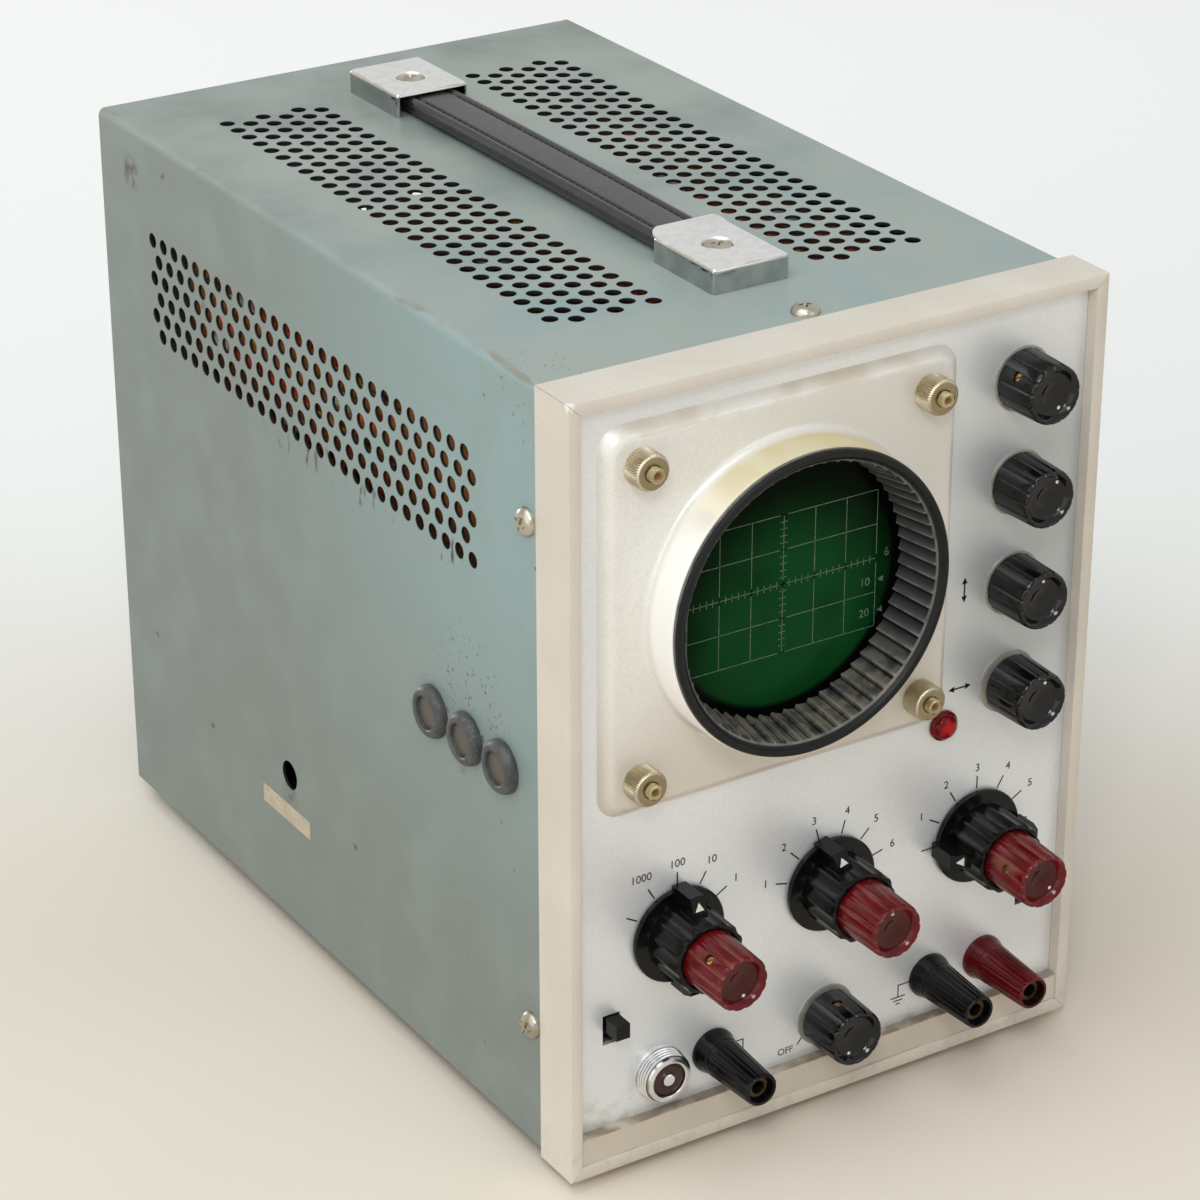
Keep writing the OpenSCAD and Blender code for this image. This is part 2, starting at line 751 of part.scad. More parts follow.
module rear_panel() {
  flange_z0 = cover_lift + tray_h + tray_gap;
  flange_z1 = inner_z1 - bend_in_r;
  vent_x0 = cover_mid - (rear_vents[0] - 1) / 2 * rear_vent_pitch;
  vent_z0 = screen_z - (rear_vents[1] - 1) / 2 * rear_vent_pitch;
  color("slategray") place() union() {
    standing(rear_y0, plate_t) difference() {
      translate([inner_x0 + plate_t + seat_gap, inner_z0])
        square([inner_x1 - inner_x0 - 2 * (plate_t + seat_gap), inner_z1 - inner_z0]);
      translate(fuse_place) circle(fuse_r + seat_gap);
      translate(gland_place) circle(gland_r);
      for (i = [0 : rear_vents[0] - 1], j = [0 : rear_vents[1] - 1])
        translate([vent_x0 + i * rear_vent_pitch, vent_z0 + j * rear_vent_pitch])
          circle(vent_d / 2, $fn = 24);
    }
    for (x = [inner_x0 + seat_gap, inner_x1 - plate_t - seat_gap])
      block([x, rear_y1 - rear_flange, flange_z0], [x + plate_t + seat_gap, rear_y1, flange_z1]);
  }
}

module rubber_feet() {
  r = foot_d / 2;
  recess_r = screw_head_d / 2 + foot_recess_gap;
  color("dimgray") place() for (x = foot_x, y = foot_y) translate([x, y, low_z]) difference() {
    rotate_extrude() polygon([[0, 0], [r - foot_edge, 0], [r, foot_edge], [r, foot_h], [0, foot_h]]);
    translate([0, 0, -over]) cylinder(r = recess_r, h = foot_recess_d + over);
    cylinder(r = screw_hole_r, h = foot_h + over);
  }
}

// The inner deck on two legs, with a saddle for the tube's screen can
module chassis_deck() {
  color("silver") place() difference() {
    union() {
      block([deck_x0, deck_front, deck_z], [deck_x1, rear_y0, deck_top]);
      for (x = [deck_x0, deck_x1 - deck_t])
        block([x, deck_front, inner_z0], [x + deck_t, rear_y0, deck_top]);
      block(
        [screen_x - saddle_half, saddle_y, deck_z],
        [screen_x + saddle_half, saddle_y + saddle_t, screen_z - saddle_dip]
      );
    }
    rod([screen_x, screen_z], saddle_y - over, saddle_y + saddle_t + over, can_neck_r + can_t + seat_gap);
  }
}

// A cross-head screw standing on its head's seat, with the shank below
module cross_screw(head_r, head_h, length) {
  cross_w = 0.9;
  rim_h = head_h * 0.45;
  dome_steps = 4;
  difference() {
    union() {
      rotate_extrude() polygon(concat(
        [[0, 0], [head_r, 0]],
        [for (i = [0 : dome_steps])
          let (a = i * 90 / dome_steps)
          [head_r * cos(a), rim_h + (head_h - rim_h) * sin(a)]]
      ));
      translate([0, 0, -length]) cylinder(r = screw_r, h = length);
    }
    for (turn = [45, 135])
      rotate([0, 0, turn]) translate([-head_r / 2, -cross_w / 2, rim_h]) cube([head_r, cross_w, head_h]);
  }
}

module case_screws() {
  head_r = screw_head_d / 2;
  color("lightgray") place() {
    translate([0, screw_y, bezel_h]) cross_screw(head_r, screw_head_h, screw_length);
    for (z = side_screw_z) {
      translate([cover_x0, screw_y, z]) rotate([0, -90, 0]) cross_screw(head_r, screw_head_h, screw_length);
      translate([cover_x1, screw_y, z]) rotate([0, 90, 0]) cross_screw(head_r, screw_head_h, screw_length);
    }
    for (end = cap_ends)
      translate([cover_mid, end[0] + end[1] * cap_screw_inset, bezel_h + cap_h - cap_dimple_d])
        cross_screw(handle_head_r, cap_dimple_d, cap_h + 2 * sheet_t);
    for (x = foot_x, y = foot_y)
      translate([x, y, low_z + foot_recess_d]) rotate([180, 0, 0])
        cross_screw(head_r, screw_head_h, screw_length);
  }
}

// The square screen surround with its round collar and the pocket for the filter
module screen_surround() {
  fillet_steps = 6;
  edge_t = 0.2;
  face_w = surround_w - 2 * surround_slope;
  color("silver") place() difference() {
    union() {
      translate([screen_x, 0, screen_z]) hull() {
        standing(panel_recess - edge_t, edge_t) round_square(surround_w, surround_w, surround_r, $fn = 32);
        standing(face_y, edge_t) round_square(face_w, face_w, surround_r - surround_slope / 2, $fn = 32);
      }
      spun([screen_x, screen_z]) polygon(concat(
        [[collar_in_r - over, face_y + over], [collar_in_r - over, collar_y], [collar_r, collar_y]],
        [for (i = [0 : fillet_steps])
          let (a = i * 90 / fillet_steps)
          [collar_r + collar_fillet * (1 - cos(a)), face_y - collar_fillet * (1 - sin(a))]],
        [[collar_r + collar_fillet, face_y + over]]
      ));
    }
    rod([screen_x, screen_z], collar_y - over, panel_recess + over, collar_in_r);
    rod([screen_x, screen_z], filter_y, panel_recess + over, filter_r + seat_gap);
    for (p = stud_places) rod(p, face_y - over, panel_recess + over, stud_d / 2 + seat_gap);
  }
}

module surround_studs() {
  color("darkkhaki") place() for (p = stud_places) union() {
    rod(p, face_y - nut_l - stud_out, panel_back, stud_d / 2);
    rod(p, panel_back, panel_back + stud_head_t, stud_d);
  }
}

// Knurled thumb nuts with a chamfered front
module thumb_nuts() {
  r = nut_d / 2;
  knurl = 0.3;
  chamfer = 0.9;
  front = face_y - nut_l;
  outer = r + knurl;
  color("darkkhaki") place() for (p = stud_places) difference() {
    intersection() {
      translate([p[0], 0, p[1]]) standing(front, nut_l) polygon([
        for (i = [0 : 2 * nut_teeth - 1])
          let (a = i * 180 / nut_teeth, q = r - knurl * (i % 2))
          [q * sin(a), q * cos(a)]
      ]);
      spun(p) polygon([
        [0, front], [r - chamfer, front], [outer, front + chamfer + knurl], [outer, face_y], [0, face_y]
      ]);
    }
    rod(p, front - over, face_y + over, stud_d / 2 + run_play);
  }
}

// The black hood: a lip on the collar's edge and a ribbed sleeve inside it
module hood_ring() {
  sleeve_y1 = filter_y - hood_gap;
  valley_r = hood_tip_r + hood_rib;
  lip_r = collar_r - hood_set;
  color("#202226") place() difference() {
    union() {
      spun([screen_x, screen_z]) polygon([
        [0, collar_y], [0, hood_y], [lip_r - edge_r, hood_y], [lip_r, hood_y + edge_r], [lip_r, collar_y]
      ]);
      rod([screen_x, screen_z], collar_y - hood_lip / 2, sleeve_y1, hood_sleeve_r);
    }
    translate([screen_x, 0, screen_z]) standing(hood_y - over, sleeve_y1 - hood_y + 2 * over) polygon([
      for (i = [0 : 4 * hood_ribs - 1])
        let (a = (i - 0.5) * 90 / hood_ribs, q = i % 4 < 2 ? hood_tip_r : valley_r)
        [q * sin(a), q * cos(a)]
    ]);
    spun([screen_x, screen_z]) polygon([
      [0, hood_y - over], [hood_lip_r, hood_y - over], [hood_lip_r, hood_y + over],
      [hood_tip_r - over, sleeve_y1 - over], [0, sleeve_y1 - over]
    ]);
  }
}

module graticule_filter() {
  color("seagreen") place() rod([screen_x, screen_z], filter_y, panel_recess, filter_r);
}

// The picture tube: face, bulb, cone, neck and base
module picture_tube() {
  cone_y = bulb_y + bulb_straight;
  neck_y = cone_y + bulb_cone;
  end_y = bulb_y + tube_l;
  color("darkseagreen") place() spun([screen_x, screen_z]) polygon([
    [0, bulb_y], [bulb_r - face_edge, bulb_y + face_crown], [bulb_r, bulb_y + face_edge], [bulb_r, cone_y],
    [neck_r, neck_y], [neck_r, end_y], [neck_r - base_step, end_y], [neck_r - base_step, end_y + base_l],
    [0, end_y + base_l]
  ]);
}

// The steel screen can round the tube, flanged to the back of the panel
module tube_screen_can() {
  flange_r = can_r + can_flange;
  cone_y = bulb_y + bulb_straight;
  neck_y = cone_y + bulb_cone;
  color("gray") place() spun([screen_x, screen_z]) polygon([
    [can_r, panel_back], [flange_r, panel_back], [flange_r, panel_back + can_t],
    [can_r + can_t, panel_back + can_t], [can_r + can_t, cone_y], [can_neck_r + can_t, neck_y],
    [can_neck_r + can_t, bulb_y + can_l], [can_neck_r, bulb_y + can_l], [can_neck_r, neck_y], [can_r, cone_y]
  ]);
}

// Small potentiometers: can, threaded bush and the bore for the shaft
module potentiometers() {
  color("darkgray") place() for (p = small_places) difference() {
    union() {
      rod(p, panel_back, panel_back + pot_d, pot_r);
      rod(p, panel_recess - bush_out, panel_back, small_bush_r);
    }
    rod(p, panel_recess - bush_out - over, panel_back + shaft_in_pot + panel_gap, shaft_r + run_play);
  }
}

// Rotary switches with a potentiometer behind each, and the two slide switches' bodies
module switch_bodies() {
  rear_y = panel_back + rotary_d;
  color("tan") place() {
    for (x = dual_x) let (p = [x, dual_rise]) difference() {
      union() {
        rod(p, panel_back, rear_y, rotary_r);
        rod(p, rear_y, rear_y + rear_pot_d, pot_r);
        rod(p, panel_recess - bush_out, panel_back, dual_bush_r);
      }
      rod(p, panel_recess - bush_out - over, panel_back + rotary_bore_l, hollow_r + run_play);
      rod(p, panel_back, rear_y + shaft_in_pot, shaft_r + run_play);
    }
    for (x = slide_x) difference() {
      slide_body(x);
      slide_cavity(x);
    }
  }
}

// The outside of a slide switch's body
module slide_body(x) {
  half_w = slider_w / 2 + slide_gap + slide_wall;
  half_h = (slider_h + slide_travel) / 2 + slide_gap + slide_wall;
  depth = slider_t + 2 * slide_gap + 2 * slide_wall;
  block(
    [x - half_w, panel_back, slide_rise - half_h],
    [x + half_w, panel_back + depth, slide_rise + half_h]
  );
}

// The space inside it, with the slot to the panel
module slide_cavity(x) {
  half_w = slider_w / 2 + slide_gap;
  half_h = (slider_h + slide_travel) / 2 + slide_gap;
  y0 = panel_back + slide_wall;
  block(
    [x - half_w, y0, slide_rise - half_h],
    [x + half_w, y0 + slider_t + 2 * slide_gap, slide_rise + half_h]
  );
  block(
    [x - slot_w / 2, panel_back - over, slide_rise - slot_h / 2],
    [x + slot_w / 2, y0 + over, slide_rise + slot_h / 2]
  );
}

// A lever with the slider that holds it in the switch's body
module slide_lever(x) {
  y0 = panel_back + slide_wall + slide_gap;
  color("#26272a") place() union() {
    block(
      [x - lever_w / 2, panel_recess - lever_out, lever_z0],
      [x + lever_w / 2, y0 + over, lever_z0 + lever_h]
    );
    block(
      [x - slider_w / 2, y0, lever_z0 - slider_margin],
      [x + slider_w / 2, y0 + slider_t, lever_z0 + lever_h + slider_margin]
    );
  }
}

// The nuts on the controls' bushes and behind the binding posts
module control_nuts() {
  y0 = panel_recess - bush_nut_t;
  color("silver") place() {
    for (p = small_places) hex_nut(p, y0, panel_recess, small_nut_flats, small_bush_r + run_play);
    for (x = dual_x) hex_nut([x, dual_rise], y0, panel_recess, dual_nut_flats, dual_bush_r + run_play);
    for (p = post_places) hex_nut(p, panel_back, panel_back + post_nut_t, post_nut_flats, post_r + run_play);
  }
}

// The threaded shell with its tail behind the panel, and the centre contact
module coax_socket() {
  color("lightgray") place() {
    difference() {
      union() {
        rod(coax_place, coax_y, panel_recess, coax_d / 2);
        rod(coax_place, panel_recess, coax_tail_y, coax_tail_r);
      }
      rod(coax_place, coax_y - over, coax_tail_y + over, coax_core_r + run_play);
    }
    rod(coax_place, coax_y + coax_pin_set, coax_tail_y + coax_pin_tail, coax_pin_r);
  }
}

module coax_insulator() {
  color("sienna") place() difference() {
    rod(coax_place, coax_y + coax_core_set, coax_tail_y, coax_core_r);
    rod(coax_place, coax_y, coax_tail_y + over, coax_pin_r + run_play);
  }
}

// Insulating collars of the binding posts, flared towards the panel
module post_collars() {
  flare_steps = 5;
  rim_t = 1.2;
  bore_r = post_r + run_play;
  for (i = [0 : 2])
    color(i == 2 ? "firebrick" : "#202226") place() spun(post_places[i]) polygon(concat(
      [[bore_r, flare_y]],
      [for (k = [0 : flare_steps])
        let (u = k / flare_steps)
        [post_cap_r + (flare_r - post_cap_r) * u * u, flare_y + (flare_l - rim_t) * u]],
      [[flare_r, panel_recess], [bore_r, panel_recess]]
    ));
}

// Studs of the binding posts, each bored for a plug
module post_studs() {
  color("silver") place() for (p = post_places) difference() {
    rod(p, stud_y, stud_back, post_r);
    rod(p, stud_y - over, stud_y + jack_l, jack_d / 2);
  }
}

// A tapered, fluted cap on a binding post
module post_cap(index) {
  p = post_places[index];
  flute_r = 0.8;
  flute_out = 0.48;
  plain_l = 1.5;
  tip_edge = 0.4;
  lean = atan((post_cap_r - post_tip_r) / post_cap_l);
  color(index == 2 ? "firebrick" : "#202226") place() difference() {
    spun(p) polygon([
      [0, post_cap_y0], [post_cap_r, post_cap_y0], [post_tip_r, post_cap_y1 + tip_edge],
      [post_tip_r - tip_edge, post_cap_y1], [0, post_cap_y1]
    ]);
    rod(p, post_cap_y1 - over, post_cap_y0 + over, post_r + run_play);
    rod(p, post_cap_y1 - over, stud_y, post_dish_r);
    flute_cuts(
      p, post_cap_y0 - plain_l, post_cap_l, post_cap_r + flute_out, flute_r, post_flutes, 0, lean
    );
  }
}

module pilot_lens() {
  dome_steps = 6;
  flange_t = 1.2;
  rim_t = 0.6;
  dome_h = lens_out - flange_t - rim_t;
  tail_y = panel_back + lamp_tail;
  color("red") place() spun(lamp_place) polygon(concat(
    [[0, tail_y], [lamp_stem_r, tail_y], [lamp_stem_r, panel_recess], [lamp_flange_r, panel_recess],
      [lamp_flange_r, panel_recess - flange_t], [lens_r, panel_recess - flange_t]],
    [for (i = [0 : dome_steps])
      let (a = i * 90 / dome_steps)
      [lens_r * cos(a), panel_recess - lens_out + dome_h * (1 - sin(a))]]
  ));
}

// The strap, drawn across and run from one cap to the other
module handle_strap() {
  edge = 1.4;
  y0 = cap_ends[0][0] + cap_t + seat_gap;
  y1 = cap_ends[1][0] - cap_t - seat_gap;
  color("#2a2a2c") place() difference() {
    translate([cover_mid, 0, strap_z + strap_t / 2]) standing(y0, y1 - y0)
      round_square(strap_w, strap_t, edge);
    for (end = cap_ends)
      translate([cover_mid, end[0] + end[1] * cap_screw_inset, bezel_h])
        cylinder(r = cap_boss_r + panel_gap, h = cap_h);
  }
}

// A handle cap: a channel closed at its outer end, with a dimple for its screw
module handle_cap(end_y, way) {
  half = cap_w / 2;
  top_z = bezel_h + cap_h;
  screw_place = [cover_mid, end_y + way * cap_screw_inset, 0];
  far = end_y + way * cap_l;
  inside = [end_y + way * cap_t, far + way];
  difference() {
    union() {
      difference() {
        block([cover_mid - half, min(end_y, far), bezel_h], [cover_mid + half, max(end_y, far), top_z]);
        block(
          [cover_mid - half + cap_t, min(inside), bezel_h - over],
          [cover_mid + half - cap_t, max(inside), top_z - cap_t]
        );
      }
      translate(screw_place + [0, 0, cap_boss_z])
        cylinder(r = cap_boss_r, h = top_z - cap_t / 2 - cap_boss_z);
    }
    translate(screw_place + [0, 0, top_z - cap_dimple_d])
      cylinder(r1 = handle_head_r + seat_gap, r2 = cap_dimple_r, h = cap_dimple_d);
    translate(screw_place + [0, 0, bezel_h]) cylinder(r = screw_hole_r, h = cap_h);
  }
}

module handle_caps() {
  color("gainsboro") place() for (end = cap_ends) handle_cap(end[0], end[1]);
}

// Rubber plugs, snapped into the cover's left side
module blanking_plugs() {
  r = plug_d / 2;
  neck_r = plug_hole_d / 2 - seat_gap;
  rim_w = 3;
  rim_top = 1;
  rim_slope = 0.4;
  dish = 0.9;
  barb = 0.8;
  tail = 2;
  color("dimgray") place() for (y = plug_y) translate([cover_x0, y, plug_rise]) rotate([0, -90, 0])
    rotate_extrude() polygon([
      [0, plug_h - dish], [r - rim_w, plug_h - dish], [r - rim_w + rim_slope, plug_h],
      [r - rim_w + rim_slope + rim_top, plug_h], [r - rim_slope, plug_h * 0.6], [r, 0], [neck_r, 0],
      [neck_r, -sheet_t], [neck_r + barb, -sheet_t - seat_gap], [neck_r, -sheet_t - tail],
      [0, -sheet_t - tail]
    ]);
}

// The transformer: laminated core and the winding through it
module power_transformer() {
  size = core_size;
  low = [core_x, core_y, deck_top];
  window = [size[0] / 6, size[2] / 6];
  window_h = size[2] - 2 * window[1];
  coil_x = 2 * window[0] - seat_gap;
  leg_x = window[0] + seat_gap;
  color("peru") place() {
    difference() {
      block(low, low + size);
      for (side = [0, 1])
        translate(low + [window[0] + side * size[0] / 2, -over, window[1]])
          cube([window[0], size[1] + 2 * over, window_h]);
    }
    translate(low + [size[0] / 2, 0, window[1]]) difference() {
      block([-coil_x, -coil_wrap, seat_gap], [coil_x, size[1] + coil_wrap, window_h - seat_gap]);
      block([-leg_x, -seat_gap, -over], [leg_x, size[1] + seat_gap, window_h + over]);
    }
  }
}

// Glass valves on their sockets, in a row on the deck
module valves() {
  r = valve_size[0];
  h = valve_size[1];
  base_r = r + valve_base[0];
  base_h = valve_base[1];
  dome_h = 6;
  dome_steps = 5;
  color("lightcyan") place() for (y = valve_y) translate([valve_x, y, deck_top]) rotate_extrude()
    polygon(concat(
      [[0, 0], [base_r, 0], [base_r, base_h], [r, base_h]],
      [for (i = [0 : dome_steps])
        let (a = i * 90 / dome_steps)
        [r * cos(a), h - dome_h * (1 - sin(a))]]
    ));
}

module circuit_board() {
  color("darkolivegreen") place()
    translate([board_x, board_y, deck_top]) cube([board_t, board_size[0], board_size[1]]);
}

// Capacitors in a row on the board's face
module capacitors() {
  step = board_size[0] / part_count;
  first_y = board_y + (step - part_size[1]) / 2;
  color("orangered") place() for (i = [0 : part_count - 1])
    translate([board_x + board_t, first_y + i * step, deck_top + board_size[1] / 3]) cube(part_size);
}

module fuse_holder() {
  flange = 2;
  cap_edge = 1;
  color("#202226") place() spun(fuse_place) polygon([
    [0, rear_y0 - fuse_tail], [fuse_r, rear_y0 - fuse_tail], [fuse_r, rear_y1], [fuse_r + flange, rear_y1],
    [fuse_r + flange, rear_y1 + flange], [fuse_r, rear_y1 + flange], [fuse_r, rear_y1 + fuse_cap - cap_edge],
    [fuse_r - cap_edge, rear_y1 + fuse_cap], [0, rear_y1 + fuse_cap]
  ]);
}

module cord_grommet() {
  neck_r = gland_r - seat_gap;
  lip_r = gland_r + gland_lip;
  color("#202226") place() spun(gland_place) polygon([
    [gland_bore_r, rear_y0 - gland_lip_t], [lip_r, rear_y0 - gland_lip_t], [lip_r, rear_y0],
    [neck_r, rear_y0], [neck_r, rear_y1], [lip_r, rear_y1], [lip_r, rear_y1 + gland_lip_t / 2],
    [lip_r - gland_lip_t / 2, rear_y1 + gland_lip_t], [gland_bore_r, rear_y1 + gland_lip_t]
  ]);
}

// The outside of a tapered, fluted knob with a round rim and a dished front, from y0 back to y1 front
module knob_body(p, y0, y1, r, flutes, turn) {
  front_r = r - knob_taper;
  crest_w = 0.2;
  cut_r = 0.8;
  cut_depth = 0.45;
  dimple_r = 3;
  dimple_d = 0.6;
  lean = atan(knob_taper / (y0 - y1));
  difference() {
    spun(p) polygon([
      [0, y0], [r, y0], [front_r, y1 + rim_r], [front_r - rim_r * (1 - sin(45)), y1 + rim_r * (1 - sin(45))],
      [front_r - rim_r, y1], [front_r - rim_r - crest_w, y1], [dish_r, y1 + dish_d], [dimple_r, y1 + dish_d],
      [0, y1 + dish_d + dimple_d]
    ]);
    flute_cuts(p, y0 + over, y0 - y1 + 2 * over, r - cut_depth + cut_r, cut_r, flutes, turn, lean);
  }
}

// A small knob on a potentiometer's shaft
module small_knob(index) {
  p = small_places[index];
  turn = small_turns[index];
  screw_turn = turn + half_turn;
  color("#202226") place() translate([0, -small_lifts[index], 0]) difference() {
    knob_body(p, control_y, knob_y, knob_r, knob_flutes, turn);
    rod(p, cavity_y, control_y + over, small_cavity_r);
    rod(p, knob_y + knob_wall, control_y + over, shaft_r + run_play);
    radial_bar(p, grub_y(knob_y, cavity_y), screw_turn, shaft_r, knob_r + over, grub_r + run_play);
  }
}

// Middle of the solid part of a knob, where its grub screw sits
function grub_y(front_y, back_y) = (front_y + knob_wall + back_y) / 2;

// A shaft and the grub screw that holds its knob
module shaft_set(p, y0, y1, turn, screw_y) {
  color("goldenrod") place() {
    rod(p, y0, y1, shaft_r);
    radial_bar(p, screw_y, turn + half_turn, shaft_r + run_play, shaft_r + grub_l, grub_r);
  }
}

module small_shaft(index) {
  lift = small_lifts[index];
  shaft_set(
    small_places[index], knob_y - lift + knob_wall + shaft_end_gap, panel_back + shaft_in_pot,
    small_turns[index], grub_y(knob_y, cavity_y) - lift
  );
}

// A pointer knob: skirt, fluted body and a bar across it
module pointer_knob(index) {
  p = [dual_x[index], dual_rise];
  turn = pointer_turn[index];
  cut_r = 4;
  cut_depth = 0.5;
  cut_ring = pointer_r - cut_depth + cut_r;
  body_y0 = control_y - skirt_t;
  color("#202226") place() difference() {
    union() {
      rod(p, body_y0, control_y, skirt_r);
      difference() {
        spun(p) polygon([
          [0, control_y], [pointer_r, control_y], [pointer_r, pointer_y + edge_r],
          [pointer_r - edge_r, pointer_y], [0, pointer_y]
        ]);
        flute_cuts(p, body_y0, body_y0 - pointer_y + over, cut_ring, cut_r, pointer_flutes, turn);
      }
      translate([p[0], 0, p[1]]) rotate([0, turn, 0])
        block([-bar_w / 2, control_y - bar_l, -bar_reach], [bar_w / 2, control_y, bar_reach]);
    }
    rod(p, cavity_y, control_y + over, dual_cavity_r);
    rod(p, pointer_y - over, control_y + over, hollow_r + run_play);
    rod(p, pointer_y - over, pointer_y + pointer_dish, red_r + panel_gap);
  }
}

// The hollow shaft of a pointer knob
module hollow_shaft(index) {
  p = [dual_x[index], dual_rise];
  y0 = pointer_y + pointer_dish + shaft_end_gap;
  y1 = panel_back + rotary_bore_l - panel_gap;
  color("goldenrod") place() difference() {
    rod(p, y0, y1, hollow_r);
    rod(p, y0 - over, y1 + over, shaft_r + run_play);
  }
}

// A red knob in front of a pointer knob
module red_knob(index) {
  p = [dual_x[index], dual_rise];
  turn = red_turn[index];
  screw_turn = turn + half_turn;
  color("firebrick") place() difference() {
    knob_body(p, red_y0, red_y, red_r, red_flutes, turn);
    rod(p, red_y + knob_wall, red_y0 + over, shaft_r + run_play);
    radial_bar(p, grub_y(red_y, red_y0), screw_turn, shaft_r, red_r + over, grub_r + run_play);
  }
}

module inner_shaft(index) {
  shaft_set(
    [dual_x[index], dual_rise], red_y + knob_wall + shaft_end_gap,
    panel_back + rotary_d + shaft_in_pot - panel_gap, red_turn[index], grub_y(red_y, red_y0)
  );
}

bezel_frame();
sill_strip();
front_panel();
wrap_cover();
bottom_plate();
rear_panel();
rubber_feet();
chassis_deck();
case_screws();
screen_surround();
surround_studs();
thumb_nuts();
hood_ring();
graticule_filter();
picture_tube();
tube_screen_can();
potentiometers();
switch_bodies();
control_nuts();
coax_socket();
coax_insulator();
post_collars();
post_studs();
pilot_lens();
handle_strap();
handle_caps();
blanking_plugs();
power_transformer();
valves();
circuit_board();
capacitors();
fuse_holder();
cord_grommet();
small_knob(0);  // intensity_knob
small_knob(1);  // focus_knob
small_knob(2);  // vertical_shift_knob
small_knob(3);  // horizontal_shift_knob
small_knob(4);  // phase_power_knob
small_shaft(0);  // intensity_shaft
small_shaft(1);  // focus_shaft
small_shaft(2);  // vertical_shift_shaft
small_shaft(3);  // horizontal_shift_shaft
small_shaft(4);  // phase_power_shaft
pointer_knob(0);  // vertical_range_knob
pointer_knob(1);  // sweep_range_knob
pointer_knob(2);  // sync_source_knob
hollow_shaft(0);  // vertical_range_shaft
hollow_shaft(1);  // sweep_range_shaft
hollow_shaft(2);  // sync_source_shaft
red_knob(0);  // vertical_gain_knob
red_knob(1);  // sweep_vernier_knob
red_knob(2);  // horizontal_gain_knob
inner_shaft(0);  // vertical_gain_shaft
inner_shaft(1);  // sweep_vernier_shaft
inner_shaft(2);  // horizontal_gain_shaft
slide_lever(slide_x[0]);  // left_slide_lever
slide_lever(slide_x[1]);  // right_slide_lever
post_cap(0);  // signal_ground_cap
post_cap(1);  // sync_ground_cap
post_cap(2);  // sync_input_cap
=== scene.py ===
import math

import bmesh
import bpy
from mathutils import Matrix, Vector


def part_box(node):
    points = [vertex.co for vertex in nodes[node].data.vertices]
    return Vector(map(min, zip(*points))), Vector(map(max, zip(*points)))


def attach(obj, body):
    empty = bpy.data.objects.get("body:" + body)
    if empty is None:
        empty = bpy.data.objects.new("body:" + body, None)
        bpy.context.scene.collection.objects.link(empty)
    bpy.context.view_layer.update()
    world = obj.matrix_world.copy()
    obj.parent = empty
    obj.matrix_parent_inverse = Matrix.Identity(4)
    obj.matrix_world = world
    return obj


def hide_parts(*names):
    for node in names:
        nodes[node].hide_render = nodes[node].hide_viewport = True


# Looks of a bench oscilloscope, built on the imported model. Shapes are in millimetres in a frame of
# the bezel's own: X = 0 at its middle, Y = 0 at its front lip, Z = 0 at its underside.
# Angles go clockwise from the top, as seen from the front.

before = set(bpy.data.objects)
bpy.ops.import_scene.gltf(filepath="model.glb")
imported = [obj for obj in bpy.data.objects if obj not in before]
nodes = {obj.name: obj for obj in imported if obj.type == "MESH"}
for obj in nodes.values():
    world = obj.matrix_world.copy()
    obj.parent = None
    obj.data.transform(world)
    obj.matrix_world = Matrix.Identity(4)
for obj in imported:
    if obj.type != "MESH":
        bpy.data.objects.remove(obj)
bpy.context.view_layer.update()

MM = 0.001
bezel_low, bezel_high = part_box("bezel_frame")
ORIGIN = Vector(((bezel_low.x + bezel_high.x) / 2, bezel_low.y, bezel_low.z))


def corners(node):
    """A node's lowest and highest corners, in the bezel's frame."""
    return [(corner - ORIGIN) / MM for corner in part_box(node)]


def middle(node):
    low, high = corners(node)
    return (low + high) / 2


def solids(node):
    """The lowest and highest corners of each separate solid in a node."""
    mesh = nodes[node].data
    owner = {}

    def root(key):
        while owner[key] != key:
            key = owner[key]
        return key

    keys = [tuple(round(c / MM, 3) for c in v.co) for v in mesh.vertices]
    for key in keys:
        owner.setdefault(key, key)
    for edge in mesh.edges:
        first, second = (root(keys[i]) for i in edge.vertices)
        owner[first] = second
    groups = {}
    for key in owner:
        groups.setdefault(root(key), []).append(Vector(key) - ORIGIN / MM)
    boxes = sorted(
        (tuple(map(min, zip(*group))), tuple(map(max, zip(*group)))) for group in groups.values()
    )
    return [(Vector(low), Vector(high)) for low, high in boxes]


# Planes, places and rest angles

BEZEL_LOW, BEZEL_HIGH = corners("bezel_frame")
COVER_LOW, COVER_HIGH = corners("wrap_cover")
BEZEL_D = COVER_LOW.y
BAR_T = 3.8
SILL_T = 4.0
PANEL_Y = corners("front_panel")[0].y
SCREEN = middle("screen_surround")
SURROUND_HALF = SCREEN.x - corners("screen_surround")[0].x
FACE_Y = corners("thumb_nuts")[1].y
# Inset and height above the panel, along the sloping wall of the surround
SURROUND_EDGE = [
    (0, 0), (0.15, 0.35), (1.7, 2.2), (2.05, 2.65), (2.45, 3.0), (2.95, 3.3), (3.5, 3.45),
    (4.2, PANEL_Y - FACE_Y),
]
SMALL_KNOBS = {
    "intensity": 150, "focus": 43, "vertical_shift": 9, "horizontal_shift": 24, "phase_power": -163,
}
# Each outer control with its angle, and the inner one with its own
DUALS = [
    ("vertical_range", 0, "vertical_gain", 163),
    ("sweep_range", -15, "sweep_vernier", -5),
    ("sync_source", -90, "horizontal_gain", 137),
]
POSTS = {"signal_ground_cap": "black", "sync_ground_cap": "black", "sync_input_cap": "red"}
FRONT = (0, -1, 0)
LEFT = (-1, 0, 0)
BACK = (0, 1, 0)
UP = (0, 0, 1)


# Shapes

